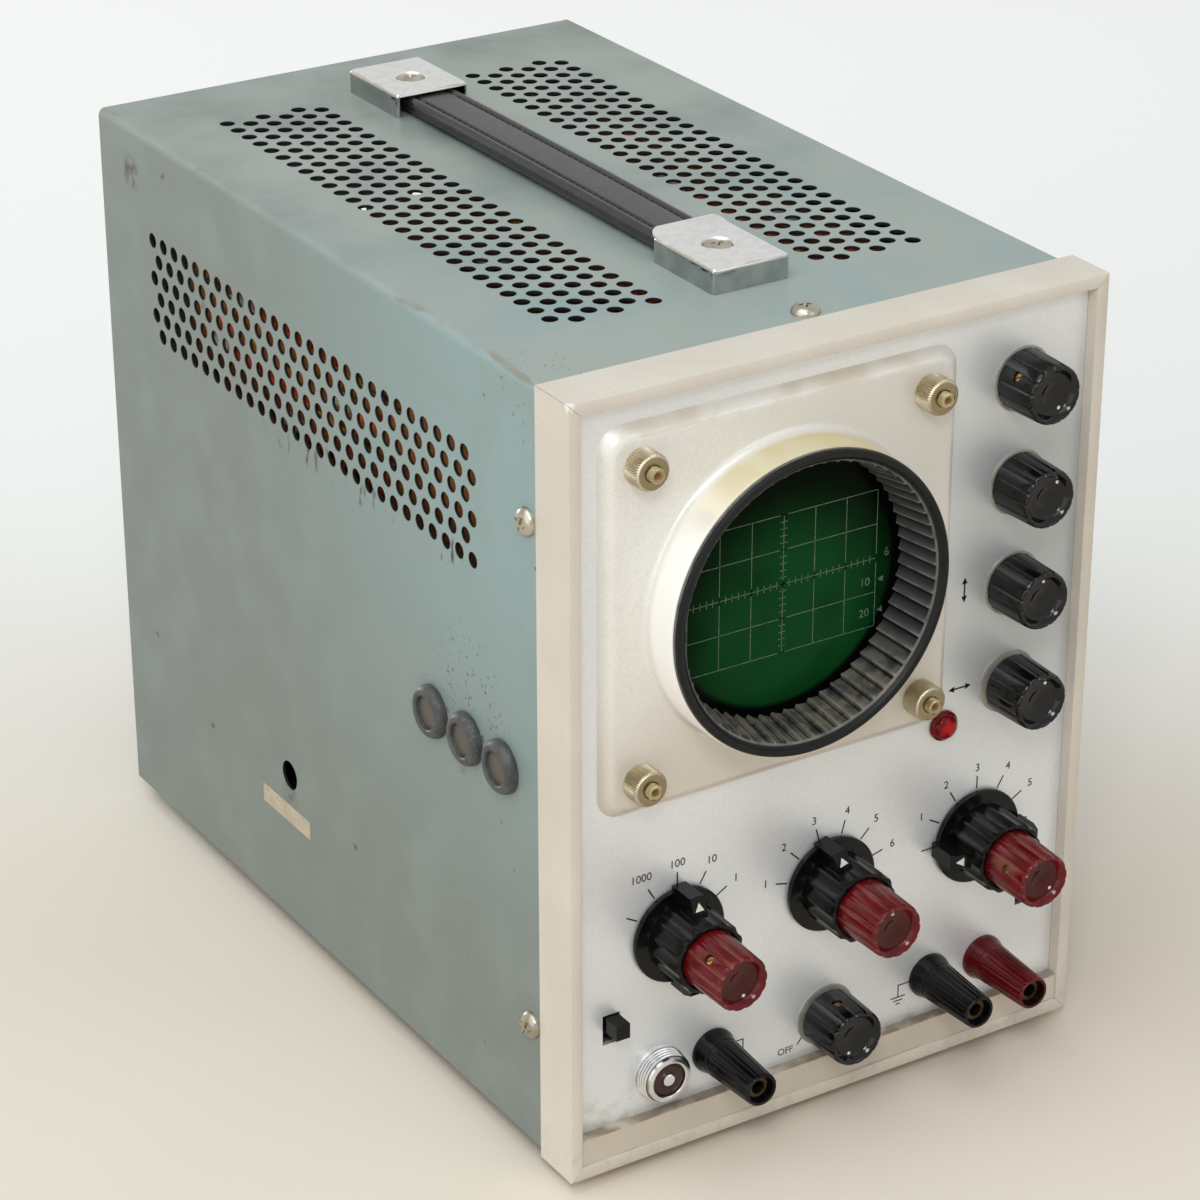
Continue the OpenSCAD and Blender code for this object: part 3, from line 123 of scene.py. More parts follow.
class Shape:
    """Points and faces, with two numbers on each point for the materials to read.

    A mark is 1 on a crest and 0 in a groove. A zone is 1 where a face has a finish of its own.
    """

    def __init__(self, points, faces, marks=None, zones=None):
        self.points = [Vector(p) for p in points]
        self.faces = list(faces)
        self.marks = list(marks or [1.0] * len(self.points))
        self.zones = list(zones or [0.0] * len(self.points))

    def __add__(self, other):
        shift = len(self.points)
        faces = self.faces + [tuple(i + shift for i in face) for face in other.faces]
        marks, zones = self.marks + other.marks, self.zones + other.zones
        return Shape(self.points + other.points, faces, marks, zones)

    def at(self, place, turn=0.0, facing=FRONT):
        """A copy turned round its own axis, aimed from the front to another way, and moved."""
        spin = Matrix.Rotation(math.radians(turn), 3, "Y")
        aim = Vector(FRONT).rotation_difference(Vector(facing)).to_matrix()
        points = [aim @ (spin @ p) + Vector(place) for p in self.points]
        return Shape(points, self.faces, self.marks, self.zones)

    def on(self, place, turn=0.0):
        """A copy on the axis that runs from the front to the back through a place."""
        return self.at((place.x, 0, place.z), turn)


def joined(shapes):
    total = Shape([], [])
    for shape in shapes:
        total = total + shape
    return total


def lofted(rings, marks=None, zones=None, loop=False, caps=False):
    """A skin through rings of points. A ring of one point is a pole."""
    points, faces, starts = [], [], []
    for ring in rings:
        starts.append(len(points))
        points.extend(ring)
    pairs = list(zip(range(len(rings) - 1), range(1, len(rings))))
    if loop:
        pairs.append((len(rings) - 1, 0))
    for a, b in pairs:
        count = max(len(rings[a]), len(rings[b]))
        for i in range(count):
            quad = [(a, i), (a, i + 1), (b, i + 1), (b, i)]
            face = [starts[k] + n % len(rings[k]) for k, n in quad]
            faces.append(tuple(dict.fromkeys(face)))
    if caps:
        for k in (0, len(rings) - 1):
            faces.append(tuple(range(starts[k], starts[k] + len(rings[k]))))
    return Shape(points, faces, marks, zones)


def turned(profile, steps=64, crest=None, loop=False):
    """A profile spun round Y. Its rows are (radius, y, flute depth, zone), the last two optional."""
    rings, marks, zones = [], [], []
    for row in profile:
        radius, y, depth, zone = row + (0, 0)[len(row) - 2:]
        turns = [i / steps for i in range(steps)] if radius else [0.0]
        heights = [crest(turn) if depth else 1.0 for turn in turns]
        reaches = [radius - depth * (1 - height) for height in heights]
        rings.append([
            (reach * math.sin(math.tau * turn), y, reach * math.cos(math.tau * turn))
            for reach, turn in zip(reaches, turns)
        ])
        marks += heights
        zones += [float(zone)] * len(turns)
    return lofted(rings, marks, zones, loop)


def from_level(level, *rows):
    """Rows of a profile, with their Y measured back from a level."""
    return [(row[0], level + row[1], *row[2:]) for row in rows]


def grooves(count, share):
    """Soft grooves between plain lands."""
    def crest(turn):
        off = min(1, abs((turn * count) % 1 - 0.5) / (share / 2))
        return (1 - math.cos(math.pi * off)) / 2
    return crest


def ribs(count, share):
    """Thin ribs between wide scallops."""
    def crest(turn):
        off = abs((turn * count + 0.5) % 1 - 0.5)
        return min(1, ((0.5 - off) / (0.5 - share / 2)) ** 2)
    return crest


def teeth(count):
    """Plain pointed teeth."""
    return lambda turn: abs(2 * ((turn * count) % 1) - 1)


def block(low, high):
    x, y, z = zip(low, high)
    ring = [(x[0], z[0]), (x[1], z[0]), (x[1], z[1]), (x[0], z[1])]
    return lofted([[(a, level, b) for a, b in ring] for level in y], caps=True)


def plate(outline, y0, y1):
    """A flat outline in X and Z, with thickness along Y."""
    return lofted([[(x, y, z) for x, z in outline] for y in (y0, y1)], caps=True)


def square_reach(angle, half, corner):
    """How far a square with round corners reaches from its middle."""
    x, z = abs(math.sin(angle)), abs(math.cos(angle))
    flat = half / max(x, z)
    inner = half - corner
    if flat * min(x, z) <= inner:
        return flat
    along = inner * (x + z)
    return along + math.sqrt(along * along - 2 * inner * inner + corner * corner)


# Pieces

SHARP = math.radians(32)


def mesh_of(name, shape):
    mesh = bpy.data.meshes.new(name)
    mesh.from_pydata([ORIGIN + p * MM for p in shape.points], [], shape.faces)
    for key, values in (("mark", shape.marks), ("zone", shape.zones)):
        mesh.attributes.new(key, "FLOAT", "POINT").data.foreach_set("value", values)
    edit = bmesh.new()
    edit.from_mesh(mesh)
    bmesh.ops.recalc_face_normals(edit, faces=edit.faces)
    edit.to_mesh(mesh)
    edit.free()
    return mesh


def cut(obj, *cutters):
    """Cuts shapes out of a piece's mesh."""
    for shape in cutters:
        tool = bpy.data.objects.new("cutter", mesh_of("cutter", shape))
        bpy.context.scene.collection.objects.link(tool)
        step = obj.modifiers.new("cut", "BOOLEAN")
        step.object = tool
        step.solver = "EXACT"
        bpy.context.view_layer.update()
        solid = obj.evaluated_get(bpy.context.evaluated_depsgraph_get())
        obj.data = bpy.data.meshes.new_from_object(solid)
        obj.modifiers.clear()
        bpy.data.objects.remove(tool)


def soften(obj, width):
    """Rounds a piece's hard edges."""
    edge = obj.modifiers.new("soft_edge", "BEVEL")
    edge.width = width * MM
    edge.segments = 3
    edge.limit_method = "ANGLE"
    edge.angle_limit = SHARP


def piece(name, shape, material, slot, body="cabinet", stands_for=(), cutters=(), edge=0):
    """A detailed mesh piece that rides a body and may stand for CAD nodes."""
    obj = bpy.data.objects.new(name, mesh_of(name, shape))
    bpy.context.scene.collection.objects.link(obj)
    cut(obj, *cutters)
    obj.data.shade_smooth()
    obj.data.set_sharp_from_angle(angle=SHARP)
    obj.data.materials.clear()
    obj.data.materials.append(material)
    if edge:
        soften(obj, edge)
    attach(obj, body)
    if stands_for:
        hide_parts(*stands_for)
    return obj


def dress(material, *names, edge=0):
    """Gives CAD nodes a finish, and a soft edge where they need one."""
    for name in names:
        nodes[name].data.materials.clear()
        nodes[name].data.materials.append(material)
        if edge:
            soften(nodes[name], edge)


# Finishes

def tone(code):
    """The linear colour of a hex code."""
    parts = [int(code[i:i + 2], 16) / 255 for i in (1, 3, 5)]
    return tuple(p / 12.92 if p <= 0.04045 else ((p + 0.055) / 1.055) ** 2.4 for p in parts) + (1.0,)


class Finish:
    """A material made of nodes. Its sizes are millimetres in the same frame as the shapes."""

    def __init__(self, name, **constants):
        self.material = bpy.data.materials.new(name)
        self.material.use_nodes = True
        self.tree = self.material.node_tree
        self.shader = self.tree.nodes["Principled BSDF"]
        for key, value in constants.items():
            self.shader.inputs[key.replace("_", " ").title().replace("Ior", "IOR")].default_value = value
        own = self.node("ShaderNodeTexCoord").outputs["Object"]
        scale = {0: self.vector("SUBTRACT", own, ORIGIN), "Scale": 1 / MM}
        self.place = self.node("ShaderNodeVectorMath", scale, operation="SCALE").outputs[0]
        self.axes = self.node("ShaderNodeSeparateXYZ", {0: self.place}).outputs
        self.normal = None

    def node(self, kind, inputs=None, **settings):
        made = self.tree.nodes.new(kind)
        for key, value in settings.items():
            setattr(made, key, value)
        for key, value in (inputs or {}).items():
            if isinstance(value, bpy.types.NodeSocket):
                self.tree.links.new(value, made.inputs[key])
            else:
                made.inputs[key].default_value = value
        return made

    def maths(self, operation, first, second=0.0):
        return self.node("ShaderNodeMath", {0: first, 1: second}, operation=operation).outputs[0]

    def vector(self, operation, *inputs):
        """A step of vector arithmetic. A length or a dot product is a number."""
        made = self.node("ShaderNodeVectorMath", dict(enumerate(inputs)), operation=operation)
        return made.outputs["Value" if operation in ("LENGTH", "DOT_PRODUCT") else "Vector"]

    def noise(self, size, detail=3.0, stretch=(1, 1, 1)):
        place = self.vector("MULTIPLY", self.place, stretch)
        inputs = {"Vector": place, "Scale": 1 / size, "Detail": detail}
        return self.node("ShaderNodeTexNoise", inputs).outputs["Fac"]

    def cells(self, size):
        """Distance from scattered points, in cells."""
        inputs = {"Vector": self.place, "Scale": 1 / size}
        return self.node("ShaderNodeTexVoronoi", inputs).outputs["Distance"]

    def fade(self, value, start, end, most=1.0):
        """0 at start and the most at end, smoothly."""
        inputs = {"Value": value, "From Min": start, "From Max": end, "To Max": most}
        made = self.node("ShaderNodeMapRange", inputs, interpolation_type="SMOOTHSTEP")
        return made.outputs["Result"]

    def blots(self, size, detail, start, end, most=1.0, stretch=(1, 1, 1)):
        """Soft patches of noise."""
        return self.fade(self.noise(size, detail, stretch), start, end, most)

    def both(self, first, *others):
        for other in others:
            first = self.maths("MULTIPLY", first, other)
        return first

    def either(self, first, *others):
        for other in others:
            first = self.maths("MAXIMUM", first, other)
        return first

    def band(self, axis, low, high, soft):
        """1 between two planes across an axis."""
        value = self.axes["XYZ".index(axis)]
        return self.both(self.fade(value, low - soft, low), self.fade(value, high + soft, high))

    def near(self, point, radius, mask=(1, 1, 1)):
        """1 close to a point and 0 from a radius outwards. A mask of 0 drops an axis."""
        gap = self.vector("MULTIPLY", self.vector("SUBTRACT", self.place, point), mask)
        return self.fade(self.vector("LENGTH", gap), radius, radius * 0.4)

    def number(self, name):
        """A number that the shape carries on its points."""
        return self.node("ShaderNodeAttribute", attribute_name=name).outputs["Fac"]

    def mix(self, mask, first, second):
        colours = [tone(c) if isinstance(c, str) else c for c in (first, second)]
        made = self.node("ShaderNodeMix", {0: mask, 6: colours[0], 7: colours[1]}, data_type="RGBA")
        return made.outputs[2]

    def colour(self, socket, name="Base Color"):
        self.tree.links.new(socket, self.shader.inputs[name])

    def paint(self, base, *layers):
        """Colours over a base, each where its mask shows it."""
        for mask, code in layers:
            base = self.mix(mask, base, code)
        self.colour(base)

    def gloss(self, value, low, high):
        inputs = {"Value": value, "To Min": low, "To Max": high}
        made = self.node("ShaderNodeMapRange", inputs)
        self.tree.links.new(made.outputs["Result"], self.shader.inputs["Roughness"])

    def bump(self, height, depth):
        inputs = {"Height": height, "Distance": depth * MM, "Strength": 1.0}
        if self.normal:
            inputs["Normal"] = self.normal
        self.normal = self.node("ShaderNodeBump", inputs).outputs["Normal"]
        self.tree.links.new(self.normal, self.shader.inputs["Normal"])

    def done(self, gloss, rough, bump, depth):
        """The material, with roughness and fine bump from two noises, each given by size and detail."""
        self.gloss(self.noise(*gloss), *rough)
        self.bump(self.noise(*bump), depth)
        return self.material


def painted_hole_shade(f):
    """1 on the walls of the cover's holes and on its inside, which are painted dark as shade."""
    bend, depth = 2.2, 0.2
    mid_x, half = (COVER_LOW.x + COVER_HIGH.x) / 2, (COVER_HIGH.x - COVER_LOW.x) / 2
    off = f.maths("ABSOLUTE", f.maths("SUBTRACT", f.axes[0], mid_x))
    side = f.maths("SUBTRACT", half, off)
    top = f.maths("SUBTRACT", COVER_HIGH.z, f.axes[2])
    sunk = f.both(f.fade(side, depth * 0.5, depth), f.fade(top, depth * 0.5, depth))
    clear_of_bend = f.fade(f.either(side, top), bend, bend + 0.5)
    clear_of_rear = f.fade(f.axes[1], COVER_HIGH.y - 12, COVER_HIGH.y - 14)
    return f.both(sunk, clear_of_bend, clear_of_rear)


def cover_paint():
    f = Finish("cover_paint")
    # The base turns lighter and bluer towards the front and the top.
    forward = f.both(f.fade(f.axes[1], 200, 20), f.fade(f.axes[2], 30, 190))
    top = f.fade(f.axes[2], COVER_HIGH.z - 1.2, COVER_HIGH.z - 0.2)
    left = f.fade(f.axes[0], COVER_LOW.x + 4, COVER_LOW.x + 0.6)
    crowd = f.either(f.fade(f.axes[1], 75, 18), f.blots(50, 2, 0.56, 0.7))
    dots = f.both(f.fade(f.cells(9), 0.085, 0.04), crowd)
    stains = f.both(f.fade(f.cells(26), 0.07, 0.03), f.blots(2.5, 3, 0.35, 0.6))
    vent_foot = 168.8
    below_vents = f.both(f.band("Z", vent_foot - 6, vent_foot, 3), f.band("Y", 60, 150, 20))
    drips = f.both(below_vents, f.blots(3.2, 4, 0.58, 0.68, stretch=(1, 1, 0.4)))
    spot_at, hole_at, plugs_at = [(COVER_LOW.x, y, z) for y, z in ((247, 216), (159.2, 47), (52, 124))]
    spot = f.both(f.near(spot_at, 6.5), f.blots(3, 4, 0.35, 0.6))
    soot = f.both(f.near(hole_at, 6), f.blots(2, 4, 0.35, 0.7, 0.6))
    dirt = f.both(f.near(plugs_at, 30), f.blots(1.5, 6, 0.6, 0.68, 0.8))
    rust = f.both(left, f.either(dots, stains, drips, spot, soot, dirt))
    corner_at = (COVER_LOW.x, BEZEL_D, COVER_HIGH.z)
    corner = f.both(f.near(corner_at, 30), f.blots(1.6, 6, 0.6, 0.68, 0.8))
    edge = f.both(f.band("Z", COVER_HIGH.z - 1.1, COVER_HIGH.z - 0.1, 0.4), left)
    edge = f.both(edge, f.blots(8, 6, 0.55, 0.65, 0.7, stretch=(1, 0.3, 1)))
    f.paint(
        f.mix(forward, "#77807b", "#88a0a1"),
        (f.blots(22, 5, 0.4, 0.75, 0.5), "#84918d"),
        # Painted light: lighter patches on the top face.
        (f.both(top, f.blots(34, 5, 0.2, 0.65, 0.85)), "#9ca49e"),
        (f.either(corner, edge), "#7c7763"),
        (rust, "#4b4130"),
        # Painted shade: near black on the hole walls and the inside.
        (painted_hole_shade(f), "#191a19"),
    )
    material = f.done((24, 4), (0.36, 0.5), (0.9, 2), 0.02)
    f.bump(f.either(rust, corner), -0.03)
    return material


def bezel_paint():
    f = Finish("bezel_paint")
    low = f.both(f.fade(f.axes[2], 18, 2), f.blots(5, 6, 0.5, 0.7, 0.3))
    chips = f.fade(f.cells(34), 0.032, 0.02)
    # Painted highlight: a small pale spot at the top left front corner, in the colour of the chips.
    corner = f.both(f.near((BEZEL_LOW.x, 0, BEZEL_HIGH.z), 2.8), f.blots(1.4, 4, 0.38, 0.5))
    f.paint(
        f.mix(f.blots(38, 4, 0.35, 0.68), "#d2cabd", "#dad3c8"),
        (f.blots(0.7, 3, 0.45, 0.8, 0.35), "#c4baaa"),
        (low, "#b0a48f"),
        (f.either(chips, corner), "#efece5"),
    )
    return f.done((18, 4), (0.4, 0.55), (1.0, 2), 0.02)


def strip_paint():
    f = Finish("strip_paint")
    low, high = corners("sill_strip")
    base = f.mix(f.blots(30, 5, 0.35, 0.7, stretch=(0.4, 1, 1)), "#c8beae", "#d2c9bc")
    upper = f.both(f.band("Z", high.z - 0.15, high.z + 1, 0.3), f.blots(7, 6, 0.3, 0.6, 0.7))
    lower = f.both(f.band("Z", low.z - 1, low.z + 0.1, 0.3), f.blots(9, 6, 0.42, 0.65, 0.5))
    f.paint(base, (f.either(upper, lower), "#6d5a40"))
    return f.done((12, 4), (0.4, 0.58), (1.0, 2), 0.02)


def panel_metal():
    f = Finish("panel_metal", metallic=0.45)
    grain = f.noise(0.4, 2)
    # Painted shade: darker to the right of the screen, by the knobs.
    painted_shade_right = f.both(f.fade(f.axes[0], 0, 62), f.both(f.fade(f.axes[2], 70, 140), f.fade(f.axes[2], 225, 175)))
    f.paint(
        f.mix(f.blots(60, 4, 0.3, 0.7), "#e9edef", "#f1f3f4"),
        (painted_shade_right, "#c3c8ca"),
        (f.fade(grain, 0.4, 0.8, 0.25), "#c2c2c1"),
        (f.both(f.blots(9, 6, 0.55, 0.72, 0.5), f.fade(f.axes[2], 30, 12)), "#b3aa97"),
    )
    f.gloss(f.noise(7, 4), 0.34, 0.42)
    f.bump(grain, 0.008)
    return f.material


def silver_paint():
    f = Finish("silver_paint", metallic=0.2)
    fine = f.noise(0.6, 2)
    lit = f.both(f.fade(f.axes[0], 15, -70), f.fade(f.axes[2], SCREEN.z - 58, SCREEN.z - 8))
    wall_z = SCREEN.z + SURROUND_HALF - SURROUND_EDGE[-1][0] + 0.6
    wall = f.both(f.fade(f.axes[2], wall_z, wall_z + 0.5), f.blots(16, 4, 0.38, 0.6, 0.4))
    proud = f.fade(f.axes[1], FACE_Y - 1, FACE_Y - 4)
    collar = f.both(proud, f.fade(f.axes[2], SCREEN.z + 24, SCREEN.z + 42))
    f.paint(
        f.mix(lit, "#dddad3", "#f2f1ed"),
        (f.blots(42, 4, 0.3, 0.7, 0.5), "#e4e1da"),
        (f.fade(fine, 0.4, 0.75, 0.4), "#d6d3cb"),
        # Darker and warmer towards the bottom.
        (f.fade(f.axes[2], SCREEN.z - 8, SCREEN.z - 56, 0.8), "#d7d0c4"),
        (wall, "#bba981"),
        # Painted highlight: near white on the left of the collar.
        (f.both(proud, f.fade(f.axes[0], SCREEN.x - 15, SCREEN.x - 42)), "#fdfcf9"),
        (f.both(collar, f.blots(20, 4, 0.15, 0.5, 0.9)), "#d6c799"),
    )
    f.gloss(fine, 0.24, 0.38)
    f.bump(fine, 0.025)
    return f.material


def black_knob():
    f = Finish("black_knob", specular_ior_level=0.36)
    f.paint(
        f.mix(f.blots(6, 5, 0.35, 0.7), "#080909", "#0e0f0f"),
        (f.both(f.fade(f.number("mark"), 0.4, 0.0), f.blots(1.6, 4, 0.35, 0.65, 0.4)), "#45453f"),
        (f.both(f.number("zone"), f.blots(6, 3, 0.3, 0.7, 0.7)), "#100c0a"),
    )
    return f.done((4, 3), (0.07, 0.15), (1.2, 2), 0.003)


def red_knob():
    f = Finish("red_knob", specular_ior_level=0.26)
    worn = f.blots(4, 4, 0.35, 0.65, 0.75, stretch=(1, 0.3, 1))
    f.paint(
        f.mix(f.blots(5, 5, 0.35, 0.7), "#560a11", "#6a1016"),
        (f.both(f.fade(f.number("mark"), 0.85, 0.25), worn), "#7d4638"),
        (f.both(f.number("zone"), f.blots(6, 3, 0.1, 0.6, 0.85)), "#3a0f0a"),
    )
    return f.done((4, 3), (0.08, 0.18), (1.2, 2), 0.003)


def moulded(name, dark, light, recess_shade):
    """Clean glossy plastic, with painted shade in its recess."""
    f = Finish(name, specular_ior_level=0.22)
    f.paint(f.mix(f.blots(6, 5, 0.35, 0.7), dark, light), (f.number("zone"), recess_shade))
    return f.done((4, 3), (0.12, 0.24), (0.9, 2), 0.004)


def hood_plastic():
    f = Finish("hood_plastic", specular_ior_level=0.24)
    mark = f.number("mark")
    lip = f.mix(f.blots(14, 4, 0.3, 0.7), "#0b0d0e", "#131517")
    # Painted light and shade on the ribs: each rib's face is lighter towards its crest.
    face = f.mix(f.fade(mark, 0.2, 0.85), "#26282a", "#4a4c4c")
    # Painted highlight: a paler line along each rib's ridge.
    face = f.mix(f.both(f.fade(mark, 0.9, 1.0), f.blots(5, 5, 0.3, 0.6, 0.6)), face, "#7d7b75")
    low = f.fade(f.axes[2], SCREEN.z - 16, SCREEN.z - 34)
    face = f.mix(f.both(low, f.blots(4, 5, 0.3, 0.65, 0.6)), face, "#8b8474")
    # Painted shade: the groove bottoms are near black.
    face = f.mix(f.fade(mark, 0.25, 0.02), face, "#050506")
    f.paint(lip, (f.band("Y", PANEL_Y - 16.6, PANEL_Y, 0.3), face))
    return f.done((5, 4), (0.3, 0.5), (0.7, 3), 0.015)


def aged_metal(name, dark, light, rough, spot="#6d5a3c", spots=0.72, zone=None):
    f = Finish(name, metallic=1.0)
    base = f.mix(f.blots(5, 5, 0.3, 0.7), dark, light)
    own_zone = [(f.number("zone"), zone)] if zone else []
    f.paint(base, (f.blots(3.2, 6, spots, spots + 0.12), spot), *own_zone)
    return f.done((4, 5), rough, (0.8, 4), 0.01)


def cap_chrome():
    f = Finish("cap_chrome", metallic=1.0)
    cap_top = corners("handle_caps")[1].z
    top = f.fade(f.axes[2], cap_top - 0.8, cap_top - 0.1)
    side = f.mix(f.blots(7, 4, 0.3, 0.7), "#a5a8a7", "#bbbdbc")
    worn = f.mix(f.blots(3, 6, 0.4, 0.75), "#e9e9e8", "#dcdcda")
    rub = f.both(f.band("Z", cap_top - 0.9, cap_top - 0.3, 0.3), f.blots(6, 5, 0.4, 0.6, 0.7))
    f.paint(side, (top, worn), (rub, "#c7bda6"))
    f.gloss(f.maths("ADD", f.fade(top, 0, 1, 0.5), f.blots(2, 4, 0.4, 0.8, 0.15)), 0.08, 0.6)
    f.bump(f.noise(0.6, 3), 0.008)
    return f.material


def leather():
    f = Finish("leather", specular_ior_level=0.55)
    rub = f.both(f.fade(f.number("mark"), 0.55, 1.0), f.blots(5, 5, 0.42, 0.7, 0.4))
    f.paint(f.mix(f.blots(9, 5, 0.35, 0.7), "#19191a", "#242425"), (rub, "#3a332d"))
    f.bump(f.cells(0.7), 0.02)
    return f.done((4, 4), (0.22, 0.34), (2.4, 4), 0.02)


def thread():
    f = Finish("thread")
    f.colour(f.mix(f.noise(0.6, 3, (1, 3, 1)), "#070707", "#1d1b19"))
    return f.done((1, 2), (0.5, 0.7), (0.35, 2, (1, 3, 1)), 0.05)


def rubber(name, dark, light, zone):
    f = Finish(name)
    f.paint(
        f.mix(f.blots(5, 5, 0.3, 0.7), dark, light),
        (f.blots(1.0, 5, 0.58, 0.72, 0.6), "#77756d"),
        (f.number("zone"), zone),
    )
    return f.done((3, 4), (0.4, 0.6), (0.8, 4), 0.02)


def filter_green():
    f = Finish("filter_green", specular_ior_level=0.03)
    # Painted light: the green is brighter in a patch a little below the middle.
    glow = f.near((SCREEN.x + 2, 0, SCREEN.z - 13), 45, (1, 0, 1))
    base = f.mix(f.both(glow, f.blots(30, 2, 0.05, 0.6)), "#020f03", "#0f441f")
    # Painted shade: near black outside this face, where the hood shades the filter's edge.
    face = f.near((SCREEN.x, 0, SCREEN.z), 36.6, (1, 0, 1))
    f.colour(f.mix(f.fade(face, 0.0, 0.04), "#040505", base))
    return f.done((12, 3), (0.1, 0.2), (40, 2), 0.02)


def pilot_red():
    f = Finish("pilot_red", specular_ior_level=0.2, emission_strength=0.3)
    # Painted glow: the lens's middle is brighter and gives off a faint red light.
    heart = f.near(middle("pilot_lens"), 3.4, (1, 0, 1))
    f.colour(f.mix(f.both(heart, f.blots(1.4, 4, 0.2, 0.7)), "#6a050a", "#b80d14"))
    f.colour(f.mix(heart, "#060000", "#5a0406"), "Emission Color")
    f.gloss(f.noise(1.5, 3), 0.1, 0.22)
    f.bump(f.cells(0.9), 0.03)
    return f.material


def printed(name, dark, light):
    f = Finish(name)
    f.colour(f.mix(f.blots(0.9, 5, 0.35, 0.75), dark, light))
    return f.done((2, 3), (0.45, 0.65), (0.4, 2), 0.006)


def paper():
    f = Finish("paper")
    base = f.mix(f.blots(5, 5, 0.3, 0.7), "#b2a68f", "#c1b6a2")
    f.paint(base, (f.blots(2.5, 5, 0.58, 0.75), "#9a8a66"))
    return f.done((1, 3), (0.75, 0.92), (0.3, 3, (1, 0.4, 1)), 0.015)


def plain(name, dark, light, grain, rough, metallic=0.0):
    """A mottled finish for pieces inside and behind."""
    f = Finish(name, metallic=metallic)
    f.paint(f.mix(f.blots(grain * 8, 4, 0.3, 0.7), dark, light), (f.blots(grain, 4, 0.5, 0.8), dark))
    return f.done((grain * 3, 3), rough, (grain, 3), 0.02)


COVER = cover_paint()
BEZEL = bezel_paint()
PANEL = panel_metal()
SILVER = silver_paint()
KNOB_BLACK = black_knob()
KNOB_RED = red_knob()
BLACK = moulded("black_moulding", "#060707", "#0d0e0e", "#060505")
RED = moulded("red_moulding", "#500a0e", "#5f0f13", "#190707")
HOOD = hood_plastic()
NICKEL = aged_metal("aged_nickel", "#bab097", "#d6cdb8", (0.22, 0.4), zone="#9a8d70")
STUD = aged_metal("stud_metal", "#a99b78", "#c5b893", (0.2, 0.36), zone="#7d5a38")
# Its zone colour is painted shade in the bottoms of the thread's grooves.
SHELL = aged_metal("bright_nickel", "#d3d4d4", "#e9eaea", (0.16, 0.3), "#9c988c", 0.84, "#403f3d")
CHROME = cap_chrome()
SCREW = aged_metal("screw_metal", "#a39d8d", "#c2bdae", (0.2, 0.38))
BRASS = aged_metal("brass", "#9a7a48", "#c4a269", (0.25, 0.45))
LEATHER = leather()
INK = printed("ink", "#0e0f10", "#1d1e20")
WHITE = printed("white_paint", "#d6d3c8", "#efece4")
WASHER = plain("washer", "#98948a", "#b0aca2", 0.6, (0.4, 0.6))
TAG_BOARD = plain("tag_board", "#a05d24", "#c47c36", 0.6, (0.45, 0.65))
PART_FINISHES = {
    "orange": plain("orange_part", "#d9481a", "#f0662a", 0.5, (0.25, 0.45)),
    "brown": plain("brown_part", "#4a2a18", "#6b3d22", 0.5, (0.3, 0.5)),
    "yellow": plain("yellow_part", "#c79a1e", "#e0b93a", 0.5, (0.3, 0.5)),
    "cream": plain("cream_part", "#d8d2c2", "#ebe6da", 0.5, (0.3, 0.5)),
}
LINES = printed("graticule_ink", "#4a5c4d", "#6c7f6d")


# Bezel, panel and cover

def bezel_bar(start, end, inward, thick, slopes):
    """One bar of the bezel, mitred at both ends. Places are [x, z]."""
    edge = 0.45
    gap = 0.06
    start, end, inward = Vector(start), Vector(end), Vector(inward)
    along = (end - start).normalized()
    round_edge = [(0, edge), (0.3 * edge, 0.3 * edge), (edge, 0)]
    section = round_edge + [(thick - u, y) for u, y in reversed(round_edge)]
    section += [(thick, BEZEL_D), (0, BEZEL_D)]
    first = [start + inward * u + along * (u * slopes[0] + gap) for u, _ in section]
    last = [end + inward * u - along * (u * slopes[1] + gap) for u, _ in section]
    return lofted([[(p.x, y, p.y) for p, (_, y) in zip(row, section)] for row in (first, last)], caps=True)


def bezel():
    left, right, top = BEZEL_LOW.x, BEZEL_HIGH.x, BEZEL_HIGH.z
    foot_slope = SILL_T / BAR_T
    bars = [
        bezel_bar((left, 0), (left, top), (1, 0), BAR_T, (foot_slope, 1)),
        bezel_bar((right, 0), (right, top), (-1, 0), BAR_T, (foot_slope, 1)),
        bezel_bar((left, top), (right, top), (0, -1), BAR_T, (1, 1)),
        bezel_bar((left, 0), (right, 0), (0, 1), SILL_T, (1 / foot_slope, 1 / foot_slope)),
    ]
    piece("bezel_bars", joined(bars), BEZEL, "bezel", stands_for=["bezel_frame"])


def cross_screw(name, seat, facing, radius, height, shank=None, stands_for=()):
    """A screw with a domed head and a cross cut into it."""
    dome = [(1.0, 0.0), (0.99, 0.2), (0.94, 0.45), (0.8, 0.72), (0.55, 0.89), (0.28, 0.97)]
    head = turned([(0, 0.3)] + [(radius * r, -height * h) for r, h in dome] + [(0, -height)], 40)
    if shank:
        head = head + shank
    arm, slot = radius * 0.46, radius * 0.085
    wide = [(-arm, -slot), (arm, -slot), (arm, slot), (-arm, slot)]
    levels = ((-height * 1.2, 1.15), (-height * 0.35, 0.6))
    bar = lofted([[(x * scale, y, z * scale) for x, z in wide] for y, scale in levels], caps=True)
    cutters = [bar.at(seat, turn, facing) for turn in (20, 110)]
    piece(name, head.at(seat, 0, facing), SCREW, "screw", stands_for=stands_for, cutters=cutters)


